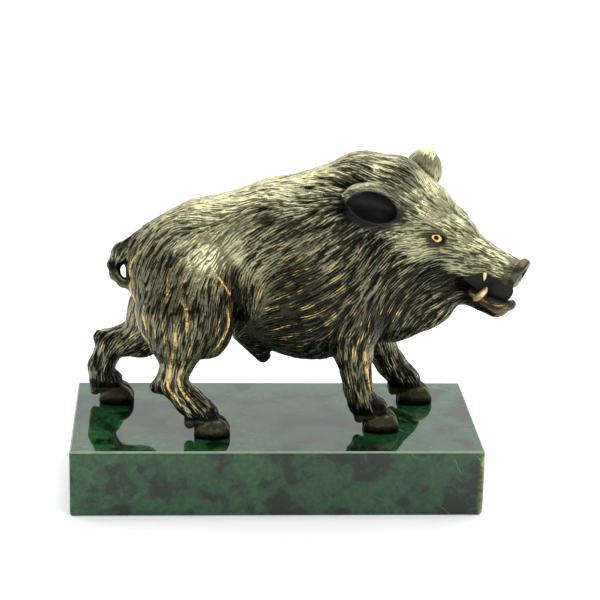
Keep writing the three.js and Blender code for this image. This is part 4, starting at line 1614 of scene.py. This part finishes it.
    def dress(
        self, piece: bpy.types.Object, p: np.ndarray, base: Field, coat: Coat, rubbing: Rubbing,
    ) -> None:
        """Carries what the bronze finish reads at each point.

        Args:
            piece: The casting.
            p: Its points as they were drawn.
            base: The bare form.
            coat: The carved coat.
            rubbing: The strands that were rubbed to gold.
        """
        out = base.slope(p)
        way, size = coat.lay(p, out)
        depth = base.sample(p)
        bare = coat.bare(p)
        crest = (1 + coat.depth) * 1.25 * size[:, 2]
        shells = np.min([ear.shell.distance(p) for ear in self.ears], axis=0)
        even = np.maximum(bare, self.shell_relief * (1 - ramp(shells, 0.2, 1.2)))
        relief = np.clip((depth + 0.3 * coat.depth) / crest, 0, 1)
        carry(piece, {
            # Painted light: from the guides on the coat; on bare parts an even level that fades to painted
            # shade on the hooves within a few millimetres of the plinth.
            "pale": size[:, 3] * (1 - bare) + bare * (self.bare_painted_light * ramp(p[:, 2], 0.2, 3.5)),
            "relief": relief * (1 - even) + self.shell_relief * even,
            # How open the skin is above each point; the finish lays painted shade where it is closed in.
            "openness": np.clip((base.sample(p + self.view * out) - depth) / self.view, 0, 1),
            "polish": bare,
            "gilt": np.maximum(self.gilding(p), self.rubbed * rubbing.worn(p - 0.35 * out)),
            # Painted shade in the hollows, the eye sockets and under the brows.
            "painted_shade": self.painted_shade(p),
            "across": np.cross(out, way),
        })

    def cast(self, ground: Ground) -> bpy.types.Object:
        """Carves, thins and dresses the casting.

        Args:
            ground: How drawn places become the object's.

        Returns:
            The casting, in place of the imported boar.
        """
        base = sampled(self.form(), self.low, self.high, self.cell)
        coat = Coat(self.head, self.ears)
        carved = coat.laid(base)
        rubbing = Rubbing()
        rubbing.raised(carved)
        points, faces = skinned(carved)
        piece = made("boar_casting", coat.deepened(base, points), faces, BronzeFinish().material())
        self.thinned(piece)
        mesh = piece.data
        p = np.empty(len(mesh.vertices) * 3, np.float32)
        mesh.vertices.foreach_get("co", p)
        p = p.reshape(-1, 3)
        self.dress(piece, p, base, coat, rubbing)
        mesh.vertices.foreach_set("co", ground.placed(p).astype(np.float32).ravel())
        mesh.update()
        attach(piece, "root")
        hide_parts("bronze_boar")
        return piece

    def build(self) -> list[bpy.types.Object]:
        """Builds the casting, its eyes and its tusks.

        Returns:
            The pieces.
        """
        low, high = (np.array(c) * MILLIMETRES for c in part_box("bronze_boar"))
        ground = Ground((high[0] - low[0]) / self.drawn_length, low[2])
        casting = self.cast(ground)
        pieces = [casting]
        finish = TuskFinish().material()
        for side in Side:
            pieces.append(Eye(self.head, side).build(casting.data.materials[0], ground))
            for name, joints in self.tusks:
                pieces.append(Tusk(self.head, side, name, joints).build(finish, ground))
        return pieces


@dataclass
class Plinth:
    """The polished block, with ground chamfers along its edges and small chips at its front corners.

    Lengths are in metres. The slopes are the least and greatest upward part of a ground face's normal.
    """

    chamfer: float = 0.0006
    chips: tuple = (
        ((0.0758, -0.0364, 0.0205), 0.0023),
        ((0.076, -0.0366, 0.0002), 0.0029),
        ((-0.0757, -0.0363, 0.0), 0.0016),
    )
    slopes: tuple[float, float] = (0.3, 0.99)
    facet: float = 2e-6
    under_top: float = 0.024

    def build(self) -> bpy.types.Object:
        """Cuts the block and its chips, and marks the faces that were ground.

        Returns:
            The block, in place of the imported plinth.
        """
        low, high = (Vector(c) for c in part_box("stone_plinth"))
        block = bmesh.new()
        bmesh.ops.create_cube(block, size=1.0)
        for corner in block.verts:
            corner.co = Vector(a + (c + 0.5) * (b - a) for a, b, c in zip(low, high, corner.co))
        bmesh.ops.bevel(block, geom=block.edges[:], offset=self.chamfer, segments=1, affect="EDGES")
        mesh = bpy.data.meshes.new("plinth_block")
        block.to_mesh(mesh)
        block.free()
        piece = linked("plinth_block", mesh)
        for centre, radius in self.chips:
            self.chip(piece, centre, radius)
        steepest, flattest = self.slopes
        tilted = [
            steepest < face.normal.z < flattest or (face.area < self.facet and face.center.z < self.under_top)
            for face in piece.data.polygons
        ]
        layer = piece.data.attributes.new("ground", "FLOAT", "FACE")
        layer.data.foreach_set("value", np.array(tilted, np.float32))
        piece.data.materials.clear()
        piece.data.materials.append(StoneFinish().material())
        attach(piece, "root")
        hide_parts("stone_plinth")
        return piece

    def chip(self, piece: bpy.types.Object, centre: Point, radius: float) -> None:
        """Breaks one rough hollow out of the block.

        Args:
            piece: The block.
            centre: The hollow's middle, in metres.
            radius: Its radius, in metres.
        """
        rng = np.random.default_rng(int(radius * 1e5))
        tool = bmesh.new()
        bmesh.ops.create_icosphere(tool, subdivisions=2, radius=radius)
        for corner in tool.verts:
            corner.co = corner.co * float(rng.uniform(0.75, 1.15)) + Vector(centre)
        mesh = bpy.data.meshes.new("chip")
        tool.to_mesh(mesh)
        tool.free()
        cutter = linked("chip", mesh)
        modifier = piece.modifiers.new("chip", "BOOLEAN")
        modifier.operation = "DIFFERENCE"
        modifier.object = cutter
        evaluated = piece.evaluated_get(bpy.context.evaluated_depsgraph_get())
        piece.data = bpy.data.meshes.new_from_object(evaluated)
        piece.modifiers.clear()
        bpy.data.objects.remove(cutter)


@dataclass
class Studio:
    """The camera at the photograph's place, the pale floor and the soft lights.

    Places and sizes are in metres, the lens and its film in millimetres, and angles in degrees.
    """

    position: Point = (-0.0375, -0.6989, 0.2965)
    forward: Point = (0.0628, 0.9497, -0.3067)
    right: Point = (0.998, -0.0585, 0.0232)
    lens: float = 119.35
    film: float = 36.0
    target: Point = (0.0, 0.0, 0.07)
    key_place: Point = (0.3, -0.4, 0.9)
    key_size: float = 0.5
    key_power: float = 2.8
    sun_power: float = 1.9
    sun_width: float = 70.0
    sun_lean: tuple[float, float] = (-14.0, 4.0)
    floor_half: float = 6.0
    front_sky: float = 0.16
    back_sky: float = 1.14

    def camera(self) -> None:
        """Sets the camera where the photograph was taken from."""
        data = bpy.data.cameras.new("camera")
        data.lens = self.lens
        data.sensor_width = self.film
        data.clip_start, data.clip_end = 0.01, 50.0
        camera = linked("camera", data)
        forward = Vector(self.forward).normalized()
        up = Vector(self.right).cross(forward).normalized()
        turn = Matrix((forward.cross(up), up, -forward)).transposed().to_4x4()
        camera.matrix_world = Matrix.Translation(self.position) @ turn
        bpy.context.scene.camera = camera

    def floor(self) -> bpy.types.Object:
        """Lays a wide white floor under the plinth.

        Returns:
            The floor.
        """
        s = Shader(bpy.data.materials.new("white_floor"))
        tone = s.mix(s.noise(s.place(), 30, 2) * 0.04, (0.94, 0.94, 0.94), (0.9, 0.9, 0.9))
        white = (1.0, 1.0, 1.0, 1.0)
        finish = s.surface({
            "Base Color": tone, "Roughness": 0.9, "Emission Color": white, "Emission Strength": 0.2,
        })
        h = self.floor_half
        corners = np.array([(-h, -h, 0), (h, -h, 0), (h, h, 0), (-h, h, 0)], np.float32)
        floor = made("floor", corners, np.array([[0, 1, 2, 3]]), finish)
        return floor

    def key(self) -> None:
        """Hangs a square soft light that faces the boar."""
        data = bpy.data.lights.new("key", "AREA")
        data.shape = "SQUARE"
        data.size = self.key_size
        data.energy = self.key_power
        light = linked("key", data)
        light.location = self.key_place
        light.rotation_mode = "QUATERNION"
        light.rotation_quaternion = (Vector(self.target) - Vector(self.key_place)).to_track_quat("-Z", "Y")

    def overhead(self) -> None:
        """Lights everything evenly from above with one very wide soft sun."""
        data = bpy.data.lights.new("overhead", "SUN")
        data.energy = self.sun_power
        data.angle = math.radians(self.sun_width)
        light = linked("overhead", data)
        light.rotation_euler = (*[math.radians(a) for a in self.sun_lean], 0)

    def sky(self) -> None:
        """Surrounds the scene with white, brightest behind the boar and plain to the camera itself."""
        world = bpy.data.worlds.new("studio")
        bpy.context.scene.world = world
        s = Shader(world)
        depth = s.part(s.node("ShaderNodeTexCoord", {}, {}, "Generated"), "Y")
        strength = self.front_sky + self.back_sky * depth.step(-0.4, 0.9)
        seen = s.node("ShaderNodeLightPath", {}, {}, "Is Camera Ray")
        shown = s.node("ShaderNodeMix", {}, {0: seen, 2: strength, 3: 1.0})
        light = s.node("ShaderNodeBackground", {}, {"Color": (1.0, 1.0, 1.0, 1.0), "Strength": shown})
        s.node("ShaderNodeOutputWorld", {}, {"Surface": light})

    def build(self) -> bpy.types.Object:
        """Sets the whole studio.

        Returns:
            The floor.
        """
        self.camera()
        floor = self.floor()
        self.key()
        self.overhead()
        self.sky()
        bpy.context.scene.view_settings.view_transform = "Standard"
        return floor


def main() -> None:
    """Builds the studio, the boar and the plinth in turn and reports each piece."""
    logging.basicConfig(level=logging.INFO, format="%(message)s")
    pieces = [Studio().build(), *Figure().build(), Plinth().build()]
    for piece in pieces:
        LOG.info("%s: %d points, %d faces", piece.name, len(piece.data.vertices), len(piece.data.polygons))


if __name__ == "__main__":
    main()
